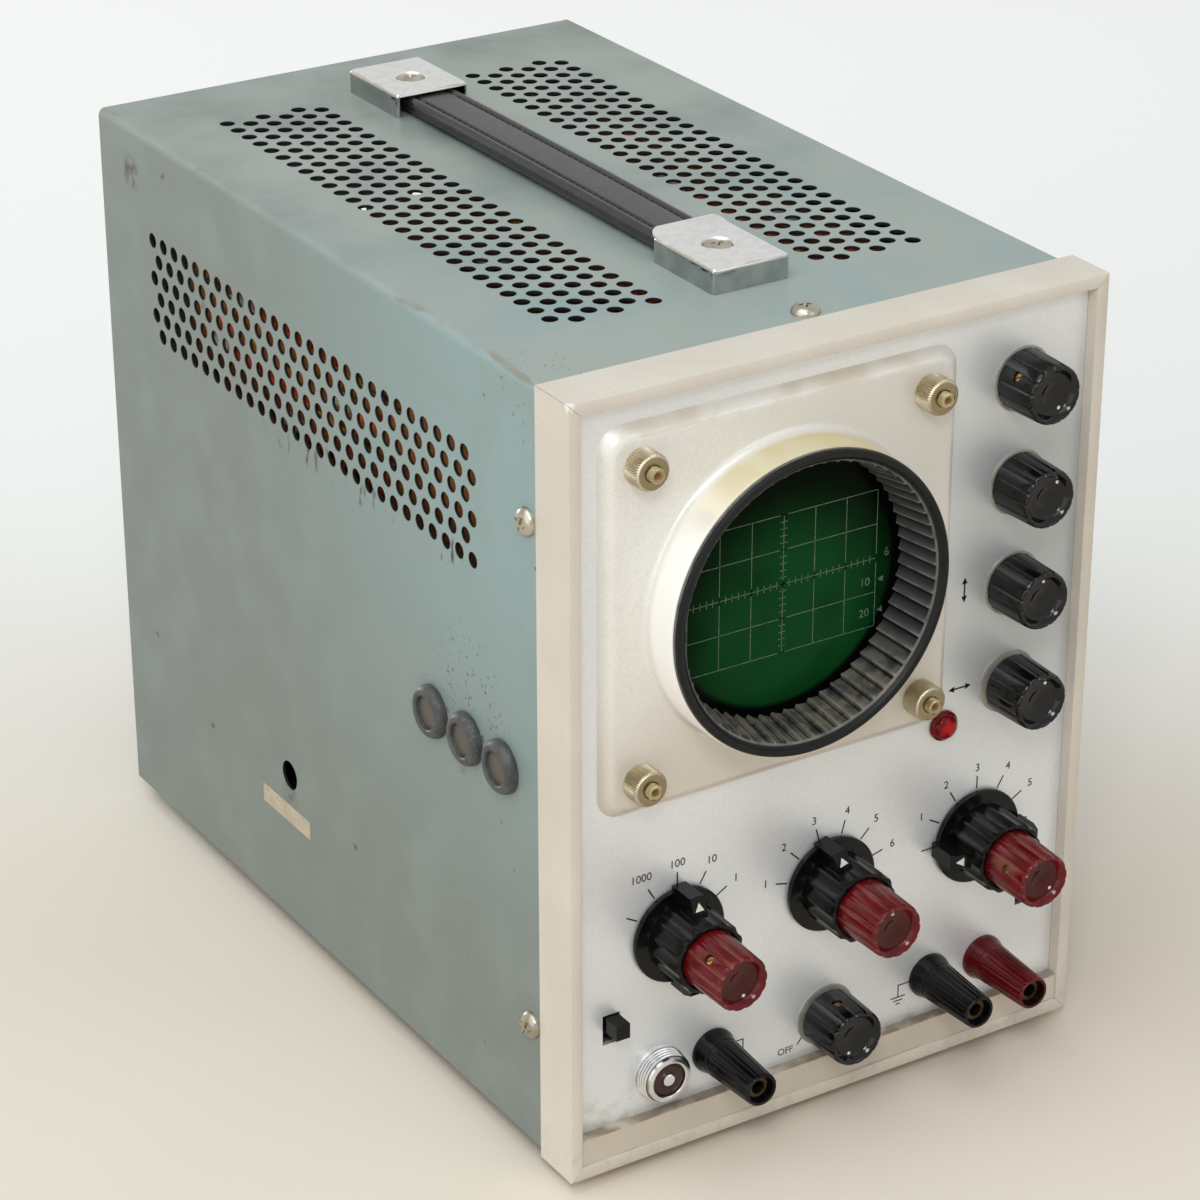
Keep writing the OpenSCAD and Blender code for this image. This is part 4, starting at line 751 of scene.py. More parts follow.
def case_screws():
    cover_mid = (COVER_LOW + COVER_HIGH) / 2
    cap_top = corners("handle_caps")[1].z
    head_h, handle_head_r, handle_head_h, proud = 2.4, 4.2, 1.3, 0.15
    shank = turned([(0, -0.2), (1.6, -0.2), (1.6, 4.5), (0, 5)], 16)
    for index, (low, high) in enumerate(solids("case_screws")):
        size = high - low
        axis = max(range(3), key=lambda i: size[i])
        seat = (low + high) / 2
        way = 1 if seat[axis] > cover_mid[axis] else -1
        in_handle = axis == 2 and way > 0 and low.y > BEZEL_D + 20
        radius, height = (handle_head_r, handle_head_h) if in_handle else (min(size) / 2, head_h)
        seat[axis] = (cap_top + proud if in_handle else (high if way > 0 else low)[axis]) - way * height
        facing = Vector((0, 0, 0))
        facing[axis] = way
        cross_screw(f"case_screw_{index}", seat, facing, radius, height, shank, ["case_screws"])


def rear_screws():
    low, high = corners("rear_panel")
    inset, radius, height = 9, 3.2, 1.8
    levels = (low.z + inset, (low.z + high.z) / 2, high.z - inset)
    seats = [(x, high.y, z) for x in (low.x + inset, high.x - inset) for z in levels]
    for index, seat in enumerate(seats):
        cross_screw(f"rear_screw_{index}", seat, BACK, radius, height)


def blanking_plugs():
    material = rubber("plug_rubber", "#3a3c3d", "#4c4e4e", "#58534a")
    low, high = corners("blanking_plugs")
    radius = (high.z - low.z) / 2
    out = COVER_LOW.x - low.x
    neck_r, tail = 6.1, high.x - COVER_LOW.x
    profile = from_level(
        -out, (0, 1.2, 0, 1), (3.9, 1.25, 0, 1), (4.45, 1.45, 0, 0.4), (4.7, 1.4), (4.85, 0.4), (5.2, 0.08),
        (5.9, 0), (6.5, 0.2), (7.1, 0.75), (radius - 0.2, 1.6), (radius, 2.5),
    )
    profile += [
        (radius - 0.1, -0.2), (radius - 0.3, 0), (neck_r, 0.05), (neck_r, 1), (neck_r + 0.6, 1.2),
        (neck_r - 0.2, tail), (0, tail),
    ]
    heart = middle("blanking_plugs")
    for index, y in enumerate((low.y + radius, heart.y, high.y - radius)):
        shape = turned(profile, 56).at((COVER_LOW.x, y, heart.z), 0, LEFT)
        stands = ["blanking_plugs"] if index == 0 else []
        piece(f"blanking_plug_{index}", shape, material, "plug_rubber", stands_for=stands)


def paper_label():
    low, high = (147.2, 36.6), (176.8, 42.6)
    lift = 0.12
    shape = block((COVER_LOW.x - lift, low[0], low[1]), (COVER_LOW.x + 0.02, high[0], high[1]))
    piece("paper_label", shape, paper(), "bezel", edge=0.03)


# Handle

def handle_caps():
    edge, sheet, dimple_inset, hollow_l = 1.1, 1.0, 16.4, 40
    dimple = turned([(0, 1.6), (3.4, 1.55), (4.0, 1.0), (4.4, 0.3), (4.9, -0.1), (4.9, -1), (0, -1)], 48)
    for index, (low, high) in enumerate(solids("handle_caps")):
        way = 1 if index == 0 else -1
        closed = low.y if way > 0 else high.y
        mid_x = (low.x + high.x) / 2
        inside = sorted((closed + way * sheet, closed + way * hollow_l))
        hollow = block((low.x + sheet, inside[0], low.z - 2), (high.x - sheet, inside[1], high.z - sheet))
        seat = (mid_x, closed + way * dimple_inset, high.z)
        piece(
            f"handle_cap_{index}", rounded_block(low, high, edge), CHROME, "chrome",
            stands_for=["handle_caps"] if index == 0 else [],
            cutters=[hollow, dimple.at(seat, 0, UP)],
        )
        if index == 0:
            raised_lip(low, high, sheet)


def raised_lip(low, high, sheet):
    """The lip that the strap has bent up at the mouth of the front cap."""
    mid_x = (low.x + high.x) / 2
    curl = [
        (-2.6, 0.02, 11.2), (-1.0, 0.08, 11.5), (0.4, 0.28, 11.5), (1.5, 0.62, 11.2), (2.4, 1.05, 10.5),
        (3.0, 1.4, 9.4),
    ]
    rings = []
    for out, rise, half in curl:
        right = [(half, -sheet), (half, -0.1), (half - 0.3, 0)]
        sides = right + [(-x, z) for x, z in reversed(right)]
        rings.append([(mid_x + x, high.y + out, high.z + rise + z) for x, z in sides])
    piece("handle_lip", lofted(rings, caps=True), CHROME, "chrome")


def rounded_block(low, high, edge):
    """A box whose top and upright edges are round and whose underside is square."""
    steps = 5
    arc = [math.pi / 2 * i / steps for i in range(steps + 1)]
    levels = [(low.z, 0)] + [(high.z - edge + edge * math.sin(a), edge * (1 - math.cos(a))) for a in arc]
    rings = []
    for z, inset in levels:
        ring = []
        for sx, sy, start in ((1, 1, 0), (-1, 1, 1), (-1, -1, 2), (1, -1, 3)):
            hub_x = (high.x - edge) if sx > 0 else (low.x + edge)
            hub_y = (high.y - edge) if sy > 0 else (low.y + edge)
            for a in arc:
                turn = a + start * math.pi / 2
                reach = edge - inset
                ring.append((hub_x + reach * math.cos(turn), hub_y + reach * math.sin(turn), z))
        rings.append(ring)
    return lofted(rings, caps=True)


# Half width, drop below the top and rub, across the upper side of the strap
STRAP_TOP = [
    (0, 0.12, 0.2), (3.0, 0.12, 0.2), (4.6, 0.18, 0.3), (5.0, 0.5, 0.1), (5.4, 0.7, 0.0), (5.8, 0.5, 0.1),
    (6.3, 0.12, 0.7), (6.9, 0.0, 0.9), (7.6, 0.15, 1.0), (8.3, 0.75, 1.0), (8.7, 1.7, 0.9),
]
STITCH_X = 5.4


def handle_strap():
    low, high = corners("handle_strap")
    mid_x = (low.x + high.x) / 2
    thick = high.z - low.z
    foot = [(8.7, thick - 1.2), (8.2, thick - 0.3), (7.4, thick)]
    half = [(x, drop) for x, drop, _ in STRAP_TOP] + foot
    rub = [mark for _, _, mark in STRAP_TOP] + [0.6, 0.3, 0.2]
    section = half + [(-x, drop) for x, drop in reversed(half[1:])]
    marks = rub + rub[:0:-1]
    (_, front_mouth), (rear_mouth, _) = solids("handle_caps")
    start, end = front_mouth.y, rear_mouth.y
    length, parts = end - start, 24

    def bow(y):
        """How far the strap rises between the caps."""
        return 0.35 * math.sin(math.pi * min(1, max(0, (y - start) / length)))

    stations = [(low.y, 0.55), (start - 5, 0.55), (start - 1.5, 0.95)]
    stations += [(start + length * i / parts, 1.0) for i in range(parts + 1)]
    stations += [(end + 1.5, 0.95), (end + 5, 0.55), (high.y, 0.55)]
    rings = [
        [(mid_x + x, y, low.z + bow(y) + (thick - drop) * press) for x, drop in section]
        for y, press in stations
    ]
    shape = lofted(rings, marks * len(rings), caps=True)
    piece("leather_strap", shape, LEATHER, "leather", stands_for=["handle_strap"])
    stitch = turned([(0, -1.15), (0.26, -0.85), (0.36, -0.4), (0.36, 0.4), (0.26, 0.85), (0, 1.15)], 8)
    pitch, first, sunk = 3.1, 3, 0.45
    spots = [start + first + i * pitch for i in range(int((length - 4) / pitch))]
    rows = [
        stitch.at((mid_x + side * STITCH_X, y, high.z - sunk + bow(y))) for side in (-1, 1) for y in spots
    ]
    piece("strap_stitches", joined(rows), thread(), "leather")


# Screen

def screen_surround():
    corner = 7.0
    collar_r, bore_r, fillet = 43.5, 41.4, 2.0
    rim_y = corners("screen_surround")[0].y
    filter_y = corners("graticule_filter")[0].y
    steps = 288
    angles = [math.tau * i / steps for i in range(steps)]
    rings = []
    for inset, height in SURROUND_EDGE:
        reaches = [square_reach(a, SURROUND_HALF - inset, corner - inset * 0.5) for a in angles]
        rings.append([
            (r * math.sin(a), PANEL_Y - height, r * math.cos(a)) for r, a in zip(reaches, angles)
        ])
    arcs = [math.pi / 2 * i / 6 for i in range(7)]
    round_part = [(collar_r + fillet * (1 - math.sin(a)), FACE_Y - fillet * (1 - math.cos(a))) for a in arcs]
    round_part += [
        (collar_r, rim_y + 0.6), (collar_r - 0.15, rim_y + 0.2), (collar_r - 0.5, rim_y),
        (bore_r + 0.5, rim_y), (bore_r, rim_y + 0.4), (bore_r, filter_y - 0.05),
        (bore_r + 1.35, filter_y - 0.05), (bore_r + 1.35, PANEL_Y),
    ]
    for r, y in round_part:
        rings.append([(r * math.sin(a), y, r * math.cos(a)) for a in angles])
    shape = lofted(rings, loop=True).on(SCREEN)
    piece("escutcheon", shape, SILVER, "surround", stands_for=["screen_surround"])


HOOD_RIBS = 60
# Heights round one rib
SAW = (0.3, 0.4, 0.52, 0.64, 0.76, 1.0, 1.0, 0.0)


def hood():
    low, high = corners("hood_ring")
    back = high.y
    lip_r = (high.x - low.x) / 2
    sleeve_r, mouth_r, foot_r, rib = 41.25, 39.0, 37.2, -1.2
    collar_y = corners("screen_surround")[0].y
    steps = HOOD_RIBS * len(SAW)

    def saw(turn):
        return SAW[round(turn * steps) % len(SAW)]

    profile = [(lip_r, collar_y)] + from_level(
        low.y, (lip_r, 0.9), (lip_r - 0.25, 0.3), (lip_r - 0.7, 0), (lip_r - 1.5, 0), (lip_r - 2.0, 0.25),
        (lip_r - 2.3, 0.8), (mouth_r + 0.6, 1.5), (mouth_r + 0.3, 1.8, -0.2), (mouth_r, 2.1, rib),
    )
    profile += [
        (foot_r + 0.3, -2.0, rib), (foot_r, back - 0.1, rib), (foot_r + 1.4, back), (sleeve_r, back),
        (sleeve_r, collar_y),
    ]
    shape = turned(profile, steps, saw, loop=True).on(SCREEN)
    piece("ribbed_hood", shape, HOOD, "black_plastic", stands_for=["hood_ring"])


def graticule():
    low, high = corners("graticule_filter")
    radius = (high.x - low.x) / 2
    profile = [
        (0, low.y), (20, low.y), (34, low.y), (radius - 0.3, low.y), (radius, low.y + 0.3), (radius, high.y),
        (0, high.y),
    ]
    shape = turned(profile, 96).on(SCREEN)
    piece("screen_filter", shape, filter_green(), "filter", stands_for=["graticule_filter"])
    step, across, up = 10.0, 3, 2
    fine, tick, width = step / 5, 1.1, 0.22
    wide, tall = across * step, up * step
    lines = [((i * step, -tall), (i * step, tall)) for i in range(-across, across + 1)]
    lines += [((-wide, i * step), (wide, i * step)) for i in range(-up, up + 1)]
    lines += [((i * fine, -tick), (i * fine, tick)) for i in range(-across * 5, across * 5 + 1)]
    lines += [((-tick, i * fine), (tick, i * fine)) for i in range(-up * 5, up * 5 + 1)]
    y = low.y
    marks = [plate(stroke(p, q, width), y - 0.04, y + 0.02) for p, q in lines]
    levels = {"6": (33.4, 1.0), "10": (26.6, -6.5), "20": (26.6, -15.6)}
    for text, (x, z) in levels.items():
        marks.append(figures(text, 3.4).at((x, y - 0.02, z)))
    for z in (levels["10"][1], levels["20"][1]):
        marks.append(plate([(30.8, z), (32.5, z + 0.9), (32.5, z - 0.9)], y - 0.04, y + 0.02))
    piece("graticule_lines", joined(marks).on(SCREEN), LINES, "filter")


def thumb_nuts():
    count, knurl = 44, 0.5
    stud_r, root_r, pitch, dent = 2.2, 1.8, 0.8, 1.2
    tip = corners("surround_studs")[0].y
    for index, (low, high) in enumerate(solids("thumb_nuts")):
        radius = (high.x - low.x) / 2
        nut = from_level(high.y, (stud_r + 0.1, 0), (radius - 0.3, 0), (radius, -0.25, knurl))
        nut += from_level(
            low.y, (radius, 0.8, knurl), (radius - 0.3, 0.45, knurl * 0.4), (radius - 0.7, 0.05),
            (radius - 0.8, 0, 0, 1), (stud_r + 0.25, 0, 0, 1), (stud_r + 0.08, 0.2, 0, 1),
            (stud_r + 0.05, 0.6),
        )
        stud = from_level(tip, (0, 0.6, 0, 1), (dent * 0.6, 0.5, 0, 1), (dent, 0.1, 0, 0.4), (1.7, 0))
        for i in range(5):
            ridge = (stud_r - 0.05, 0), (stud_r, 0.2), (root_r, 0.5), (root_r, 0.6)
            stud += from_level(tip + 0.3 + i * pitch, *ridge)
        stud += [(stud_r - 0.05, high.y), (0, high.y)]
        nut = turned(nut, count * 4, teeth(count), loop=True)
        made = (
            ("thumb_nut", nut, NICKEL, "thumb_nuts"), ("stud_end", turned(stud, 36), STUD, "surround_studs"),
        )
        for name, shape, material, node in made:
            stands = [node] if index == 0 else []
            piece(f"{name}_{index}", shape.on((low + high) / 2), material, "nickel", stands_for=stands)


# Knobs

# Radius, rise behind the front and share of the flutes' depth, from the side round to the dish, on a
# knob whose front has the rim's radius
KNOB_RIM = [
    (8.3, 0.55, 1), (8.05, 0.2, 0.8), (7.75, 0.0, 0.35), (7.5, 0.0, 0), (7.3, 0.1, 0), (6.8, 0.72, 0),
    (6.25, 1.4, 0), (6.05, 1.75, 0),
]
RIM_R = 8.5
KNOB_TAPER = 0.4
DISH_R, DIMPLE_R = 6.0, 3.1
# A grub screw's place behind the knob's front, and its turn from the dot
GRUB_BACK, GRUB_TURN = 7.9, 151
GRUB_R, GRUB_FOOT = 1.5, 3.2
BLACK_KNOB = {"radius": 8.9, "count": 15, "share": 0.34, "depth": 0.42, "grub_reach": 7.8, "dot_reach": 5.3}
RED_KNOB = {"radius": 8.5, "count": 14, "share": 0.6, "depth": 0.36, "grub_reach": 7.6, "dot_reach": 5.0}


def dish_rise(radius):
    """How far the bowl in a knob's front lies behind the front."""
    bowl = 1.85 + 0.6 * (1 - (radius / DISH_R) ** 2)
    if radius < DIMPLE_R:
        bowl += 0.5 * (1 - (radius / DIMPLE_R) ** 2)
    return bowl


def fluted_knob(front, back, radius, count, share, depth):
    """A tapered knob with soft grooves, a round rim and a dished front."""
    front_r = radius - KNOB_TAPER
    dish = (5.9, 5.5, 5.0, 4.4, 3.8, 3.3, DIMPLE_R, 2.8, 2.4, 1.8, 1.2, 0.6, 0)
    profile = from_level(back, (0, 0), (radius - 0.9, 0), (radius - 0.3, -0.05), (radius, -0.35, depth))
    profile.append((front_r, front + 1.3, depth))
    profile += [(r + front_r - RIM_R, front + rise, depth * hold) for r, rise, hold in KNOB_RIM]
    profile += [(r, front + dish_rise(r), 0, 1) for r in dish]
    return turned(profile, count * 20, grooves(count, share))


def radial(angle):
    """The way out from a knob's axis at an angle."""
    return Vector((math.sin(math.radians(angle)), 0, math.cos(math.radians(angle))))


def grub_screw(body, seat, aim, reach):
    """The small slotted screw that holds a knob on its shaft."""
    radius, slot = GRUB_R - 0.08, 0.2
    profile = [
        (0, -reach), (radius - 0.3, -reach), (radius, 0.3 - reach), (radius, -GRUB_FOOT), (0, -GRUB_FOOT),
    ]
    bar = block((-3, -reach - 1, -slot), (3, 0.5 - reach, slot)).at(seat, 0, aim)
    piece(f"{body}_grub", turned(profile, 24).at(seat, 0, aim), BRASS, "shaft", body, cutters=[bar])


def knob(body, place, angle, material, slot, radius, count, share, depth, grub_reach, dot_reach):
    """A fluted knob with its grub screw and its white dot."""
    node = f"{body}_knob"
    low, high = corners(node)
    shape = fluted_knob(low.y, high.y, radius, count, share, depth).on(place, angle)
    seat, aim = Vector((place.x, low.y + GRUB_BACK, place.z)), radial(angle + GRUB_TURN)
    mouth, floor = -radius - 1.1, 0.3 - GRUB_FOOT
    hole = turned([(0, mouth), (GRUB_R, mouth), (GRUB_R, floor), (0, floor)], 24).at(seat, 0, aim)
    piece(f"{body}_cap", shape, material, slot, body, [node], [hole])
    grub_screw(body, seat, aim, grub_reach)
    dot = turned([(0, -0.12), (0.35, -0.1), (0.55, 0), (0.5, 0.3), (0, 0.3)], 20)
    spot = Vector((place.x, low.y + dish_rise(dot_reach), place.z)) + radial(angle) * dot_reach
    piece(f"{body}_dot", dot.at(spot), WHITE, "bezel", body)


def small_knobs():
    hole_r, washer_r, face = 4, 9.5, PANEL_Y - 0.3
    ring = [
        (hole_r, PANEL_Y), (washer_r - 0.1, PANEL_Y), (washer_r, PANEL_Y - 0.15), (washer_r - 0.1, face),
        (hole_r, face),
    ]
    for body, angle in SMALL_KNOBS.items():
        place = middle(f"{body}_knob")
        knob(body, place, angle, KNOB_BLACK, "black_plastic", **BLACK_KNOB)
        piece(f"{body}_washer", turned(ring, 56, loop=True).on(place), WASHER, "nickel")


def pointer_knob(body, place, angle):
    node = f"{body}_knob"
    low, high = corners(node)
    back = high.y
    body_r, skirt_r, bore_r, count, depth = 10.75, 14.35, 8.9, 15, 0.55
    profile = from_level(
        back, (0, 0), (skirt_r - 0.2, 0), (skirt_r, -0.25), (skirt_r, -1.2), (skirt_r - 0.35, -1.5),
        (body_r + 0.3, -1.6), (body_r, -1.8, depth),
    )
    profile += from_level(
        low.y, (body_r, 0.8, depth), (body_r - 0.25, 0.25, depth * 0.8), (body_r - 0.8, 0, depth * 0.4),
        (bore_r + 0.3, 0), (bore_r + 0.05, 0.2), (bore_r, 2), (0, 2),
    )
    shape = turned(profile, count * 20, ribs(count, 0.16))
    half_w, reach, root, top = 2.2, 15.5, 9.6, back - 11.3
    shoulder = body_r - 0.8
    hand = [
        (-reach, back - 0.3), (-reach, top + 4.5), (-reach + 1.2, top + 1.2), (-shoulder, top), (-root, top),
        (-root, back - 0.3),
    ]
    tail = [(-x, y) for x, y in hand]
    hand[1:3] = [(-reach, top + 2.4), (-reach + 0.9, top + 1.3)]
    for side in (tail, hand):
        shape = shape + lofted([[(x, y, -z) for z, y in side] for x in (-half_w, half_w)], caps=True)
    piece(f"{body}_pointer", shape.on(place, angle), BLACK, "black_plastic", body, [node])
    slope = 1.3 / (reach - 0.9 - shoulder)
    arrow = [(0, 14.3), (-1.35, 12.0), (1.35, 12.0)]
    rings = [[(x, top + (z - shoulder) * slope + lift, z) for x, z in arrow] for lift in (-0.06, 0.1)]
    piece(f"{body}_arrow", lofted(rings, caps=True).on(place, angle), WHITE, "bezel", body)


def dual_controls():
    for outer, pointer_angle, inner, red_angle in DUALS:
        place = middle(f"{outer}_shaft")
        pointer_knob(outer, place, pointer_angle)
        knob(inner, place, red_angle, KNOB_RED, "red_plastic", **RED_KNOB)


# Sockets and lamp

def coax_socket():
    place = middle("coax_insulator")
    front = corners("coax_socket")[0].y
    bore_r, outer_r, root, pitch, pin_r, core_r = 5.15, 7.95, 0.6, 0.95, 1.9, 5.05
    shell = [(bore_r, PANEL_Y), (outer_r, PANEL_Y), (outer_r, PANEL_Y - 0.4)]
    # Zone 1 marks the groove bottoms, which carry painted shade.
    for i in range(4):
        crest = outer_r - 0.05 - 0.12 * i
        slope = crest - root * 0.4
        shell += from_level(
            PANEL_Y - 0.6 - i * pitch, (crest - root, 0, 0, 1), (slope, -0.12), (crest, -0.3), (crest, -0.5),
            (slope, -0.7), (crest - root, -0.82, 0, 1),
        )
    shell += from_level(
        front, (6.75, 0.6), (6.6, 0.25), (6.1, 0.1), (5.8, 0), (bore_r + 0.2, 0), (bore_r, 0.2),
    )
    contact = from_level(front, (0, 0), (1.55, 0), (1.8, 0.2), (pin_r, 0.8))
    contact += [(pin_r, PANEL_Y), (0, PANEL_Y)]
    shape = turned(shell, 72, loop=True) + turned(contact, 32)
    piece("coax_shell", shape.on(place), SHELL, "nickel", stands_for=["coax_socket"])
    core = from_level(front, (pin_r + 0.05, 0.9), (3.0, 0.7), (4.6, 0.7), (core_r, 0.95))
    core += [(core_r, PANEL_Y), (pin_r + 0.05, PANEL_Y)]
    shape = turned(core, 48, loop=True).on(place)
    material = plain("phenolic", "#2a0f0c", "#381610", 0.6, (0.3, 0.5))
    piece("coax_core", shape, material, "phenolic", stands_for=["coax_insulator"])


def binding_posts():
    count, depth, bore_r = 14, 0.24, 3.1
    finishes = {"black": BLACK, "red": RED}
    for node, colour in POSTS.items():
        low, high = corners(node)
        look = finishes[colour], f"{colour}_plastic"
        flare = from_level(
            high.y + 0.2, (bore_r, 0), (5.6, 0), (5.9, 0.3), (6.0, 1.2), (6.25, 2.3), (6.6, 3.4), (6.8, 4.2),
        )
        flare += [(6.75, PANEL_Y), (bore_r, PANEL_Y)]
        collar = turned(flare, 56, loop=True).on(middle(node))
        stands = ["post_collars"] if node == "signal_ground_cap" else []
        piece(f"{node}_collar", collar, *look, stands_for=stands)
        grip = from_level(high.y, (bore_r, 0), (5.6, 0), (5.9, -0.25), (5.85, -1.5), (5.75, -2.2, depth))
        grip += from_level(
            low.y, (4.95, 1.0, depth), (4.85, 0.35, depth * 0.7), (4.55, 0), (4.1, 0), (3.9, 0.2, 0, 1),
            (3.9, 2.1, 0, 1), (bore_r, 2.1, 0, 1),
        )
        cap = turned(grip, count * 12, grooves(count, 0.4), loop=True).on(middle(node))
        piece(f"{node}_shell", cap, *look, node, [node])


def pilot_lamp():
    low, high = corners("pilot_lens")
    shank_r, rim_r = 3.1, 4.47
    profile = from_level(
        low.y, (0, 0), (1.2, 0.1), (2.3, 0.42), (3.1, 0.95), (3.6, 1.6), (3.72, 2.2), (3.9, 2.35),
        (4.3, 2.45), (rim_r, 2.7),
    )
    profile += [(rim_r, PANEL_Y), (shank_r, PANEL_Y), (shank_r, high.y), (0, high.y)]
    shape = turned(profile, 48).on(middle("pilot_lens"))
    piece("pilot_jewel", shape, pilot_red(), "lens", stands_for=["pilot_lens"])


# Boards that the vents show

BOARD_PARTS = ("orange", "brown", "yellow", "orange", "cream", "brown", "orange")


def tag_board(name, base, facing, outline, part_rows):
    """An upright board with small tubular parts on its front.

    It is drawn facing the front, then turned to its heading. The outline ends with its top edge.
    A row of parts has a height, the place of its first part and a count.
    """
    thick, notch_w, notch_d, pitch = 1.6, 1.2, 2.0, 12
    part_pitch, part_r = 17, 2.1
    (right, top), (left, _) = outline[-2:]
    edge = []
    for i in range(1, int((right - left) / pitch)):
        x = right - i * pitch
        for side, drop in ((1, 0), (1, notch_d), (-1, notch_d), (-1, 0)):
            edge.append((x + side * notch_w, top - drop))
    skin = plate(outline[:-1] + edge + outline[-1:], 0, thick)
    piece(name, skin.at(base, 0, facing), TAG_BOARD, "board")
    long_part = turned([
        (0, -8), (0.35, -8), (0.35, -5.6), (1.5, -5.5), (part_r, -4.9), (part_r, 4.9), (1.5, 5.5),
        (0.35, 5.6), (0.35, 8), (0, 8),
    ], 20)
    short_part = turned([
        (0, -8), (0.3, -8), (0.3, -3.4), (1.0, -3.3), (1.35, -2.6), (1.1, -2.0), (1.1, 2.0), (1.35, 2.6),
        (1.0, 3.3), (0.3, 3.4), (0.3, 8), (0, 8),
    ], 16)
    groups = {}
    for row, (z, first, count) in enumerate(part_rows):
        for i in range(count):
            colour = BOARD_PARTS[(3 * i + 2 * row) % len(BOARD_PARTS)]
            shape = long_part if colour in ("orange", "cream") else short_part
            part = shape.at((first + part_pitch * i, -part_r, z), 0, LEFT)
            groups.setdefault(colour, []).append(part.at(base, 0, facing))
    for colour, shapes in groups.items():
        piece(f"{name}_{colour}", joined(shapes), PART_FINISHES[colour], "capacitor")


def tag_boards():
    deck, top = 89.5, 214.0
    tag_board(
        "left_tag_board", (-71.6, 0, 0), LEFT,
        [(-240, deck), (-62, deck), (-62, top - 9), (-240, top - 9)],
        [(152, -214, 7), (161, -222, 7), (170, -214, 7), (179, -207, 6), (188, -216, 7)],
    )
    tag_board(
        "right_tag_board", (70.6, 0, 0), LEFT,
        [(-238, deck), (-62, deck), (-62, 150), (-20, 150), (-20, top), (-238, top)],
        [(156, -223, 10), (167, -210, 11), (178, -204, 11), (189, -212, 11), (200, -206, 11),
         (208, -214, 11)],
    )
    iron_low, iron_high = corners("power_transformer")
    foot = iron_high.z
    tag_board(
        "rear_tag_board", (0, 232, 0), FRONT,
        [(-44, foot + 4), (iron_low.x, foot + 4), (iron_low.x, foot), (iron_high.x, foot),
         (iron_high.x, foot + 48), (-44, foot + 48)],
        [(foot + 12, -30, 6), (foot + 22, -22, 5), (foot + 33, -32, 6)],
    )


# Printing

def stroke(start, end, width):
    """A straight printed line's outline."""
    start, end = Vector(start), Vector(end)
    side = (end - start).normalized().orthogonal() * width / 2
    return [start + side, end + side, end - side, start - side]


def figures(text, size):
    """Plain numerals, lying flat on the panel."""
    curve = bpy.data.curves.new("figures", "FONT")
    curve.body = text
    curve.size = size
    curve.align_x = "CENTER"
    curve.align_y = "CENTER"
    curve.extrude = 0.03
    holder = bpy.data.objects.new("figures", curve)
    mesh = bpy.data.meshes.new_from_object(holder)
    points = [(v.co.x, -v.co.z, v.co.y) for v in mesh.vertices]
    shape = Shape(points, [tuple(p.vertices) for p in mesh.polygons])
    bpy.data.objects.remove(holder)
    return shape


# Angles of each dial's lines, and the number at each line
DIALS = {
    "vertical_range": (range(-60, 61, 30), ("", "1000", "100", "10", "1")),
    "sweep_range": (range(-75, 76, 30), ("1", "2", "3", "4", "5", "6")),
    "sync_source": (range(-90, 91, 30), ("", "1", "2", "3", "4", "5", "")),
}


def printing():
    tick_from, tick_to, number_r, ink_y = 14.6, 18.6, 21.2, PANEL_Y - 0.03
    lines, numbers = [], []
    for outer, (angles, texts) in DIALS.items():
        hub = middle(f"{outer}_shaft").xz
        for angle, text in zip(angles, texts):
            out = radial(angle).xz
            lines.append(stroke(hub + out * tick_from, hub + out * tick_to, 0.42))
            if text:
                spot = hub + out * (number_r + 0.9 * len(text) * abs(out.x))
                numbers.append(figures(text, 3.4).at((spot.x, ink_y, spot.y)))
    for start, end in (((43.7, 141.7), (43.7, 148.4)), ((40.2, 115.1), (47.0, 115.1))):
        lines.append(stroke(start, end, 0.5))
        along = (Vector(end) - Vector(start)).normalized()
        side = along.orthogonal() * 0.95
        for tip, back in ((Vector(start), along), (Vector(end), -along)):
            lines.append([tip - back * 0.4, tip + back * 1.5 + side, tip + back * 1.5 - side])
    stem, foot, bend, thin = -10.5, -4.1, 10.1, 0.35
    sign = [((stem, -0.2), (-5, -0.2), thin), ((stem, 0), (stem, foot), thin)]
    for i, half in enumerate((2.5, 1.6, 0.7)):
        z = foot - i * 1.1
        sign.append(((stem - half, z), (stem + half, z), thin))
    hook = [((6, 0), (bend, 0), thin), ((bend, 0.17), (bend, -3.6), thin)]
    off_tick = [((-7.4, -6.2), (-9.4, -8.9), 0.4)]
    signs = {"sync_ground_cap": sign, "signal_ground_cap": hook, "phase_power_shaft": off_tick}
    for node, strokes in signs.items():
        hub = middle(node).xz
        lines += [stroke(hub + Vector(start), hub + Vector(end), width) for start, end, width in strokes]
    power = middle("phase_power_shaft")
    numbers.append(figures("OFF", 3.0).at((power.x - 13.4, ink_y, power.z - 9.6)))
    printed_lines = joined(plate(line, PANEL_Y - 0.05, PANEL_Y + 0.02) for line in lines)
    piece("panel_print", printed_lines + joined(numbers), INK, "black_plastic")


# Stage, light and camera

# The camera's level heading
HEADING = (0.531, 0.847, 0)


def background_rays(tree):
    """1 for rays that show the background: seen straight, mirrored or through glass."""
    rays = tree.nodes.new("ShaderNodeLightPath").outputs
    total = rays["Is Camera Ray"]
    for key in ("Is Glossy Ray", "Is Transmission Ray"):
        larger = tree.nodes.new("ShaderNodeMath")
        larger.operation = "MAXIMUM"
        tree.links.new(total, larger.inputs[0])
        tree.links.new(rays[key], larger.inputs[1])
        total = larger.outputs[0]
    return total


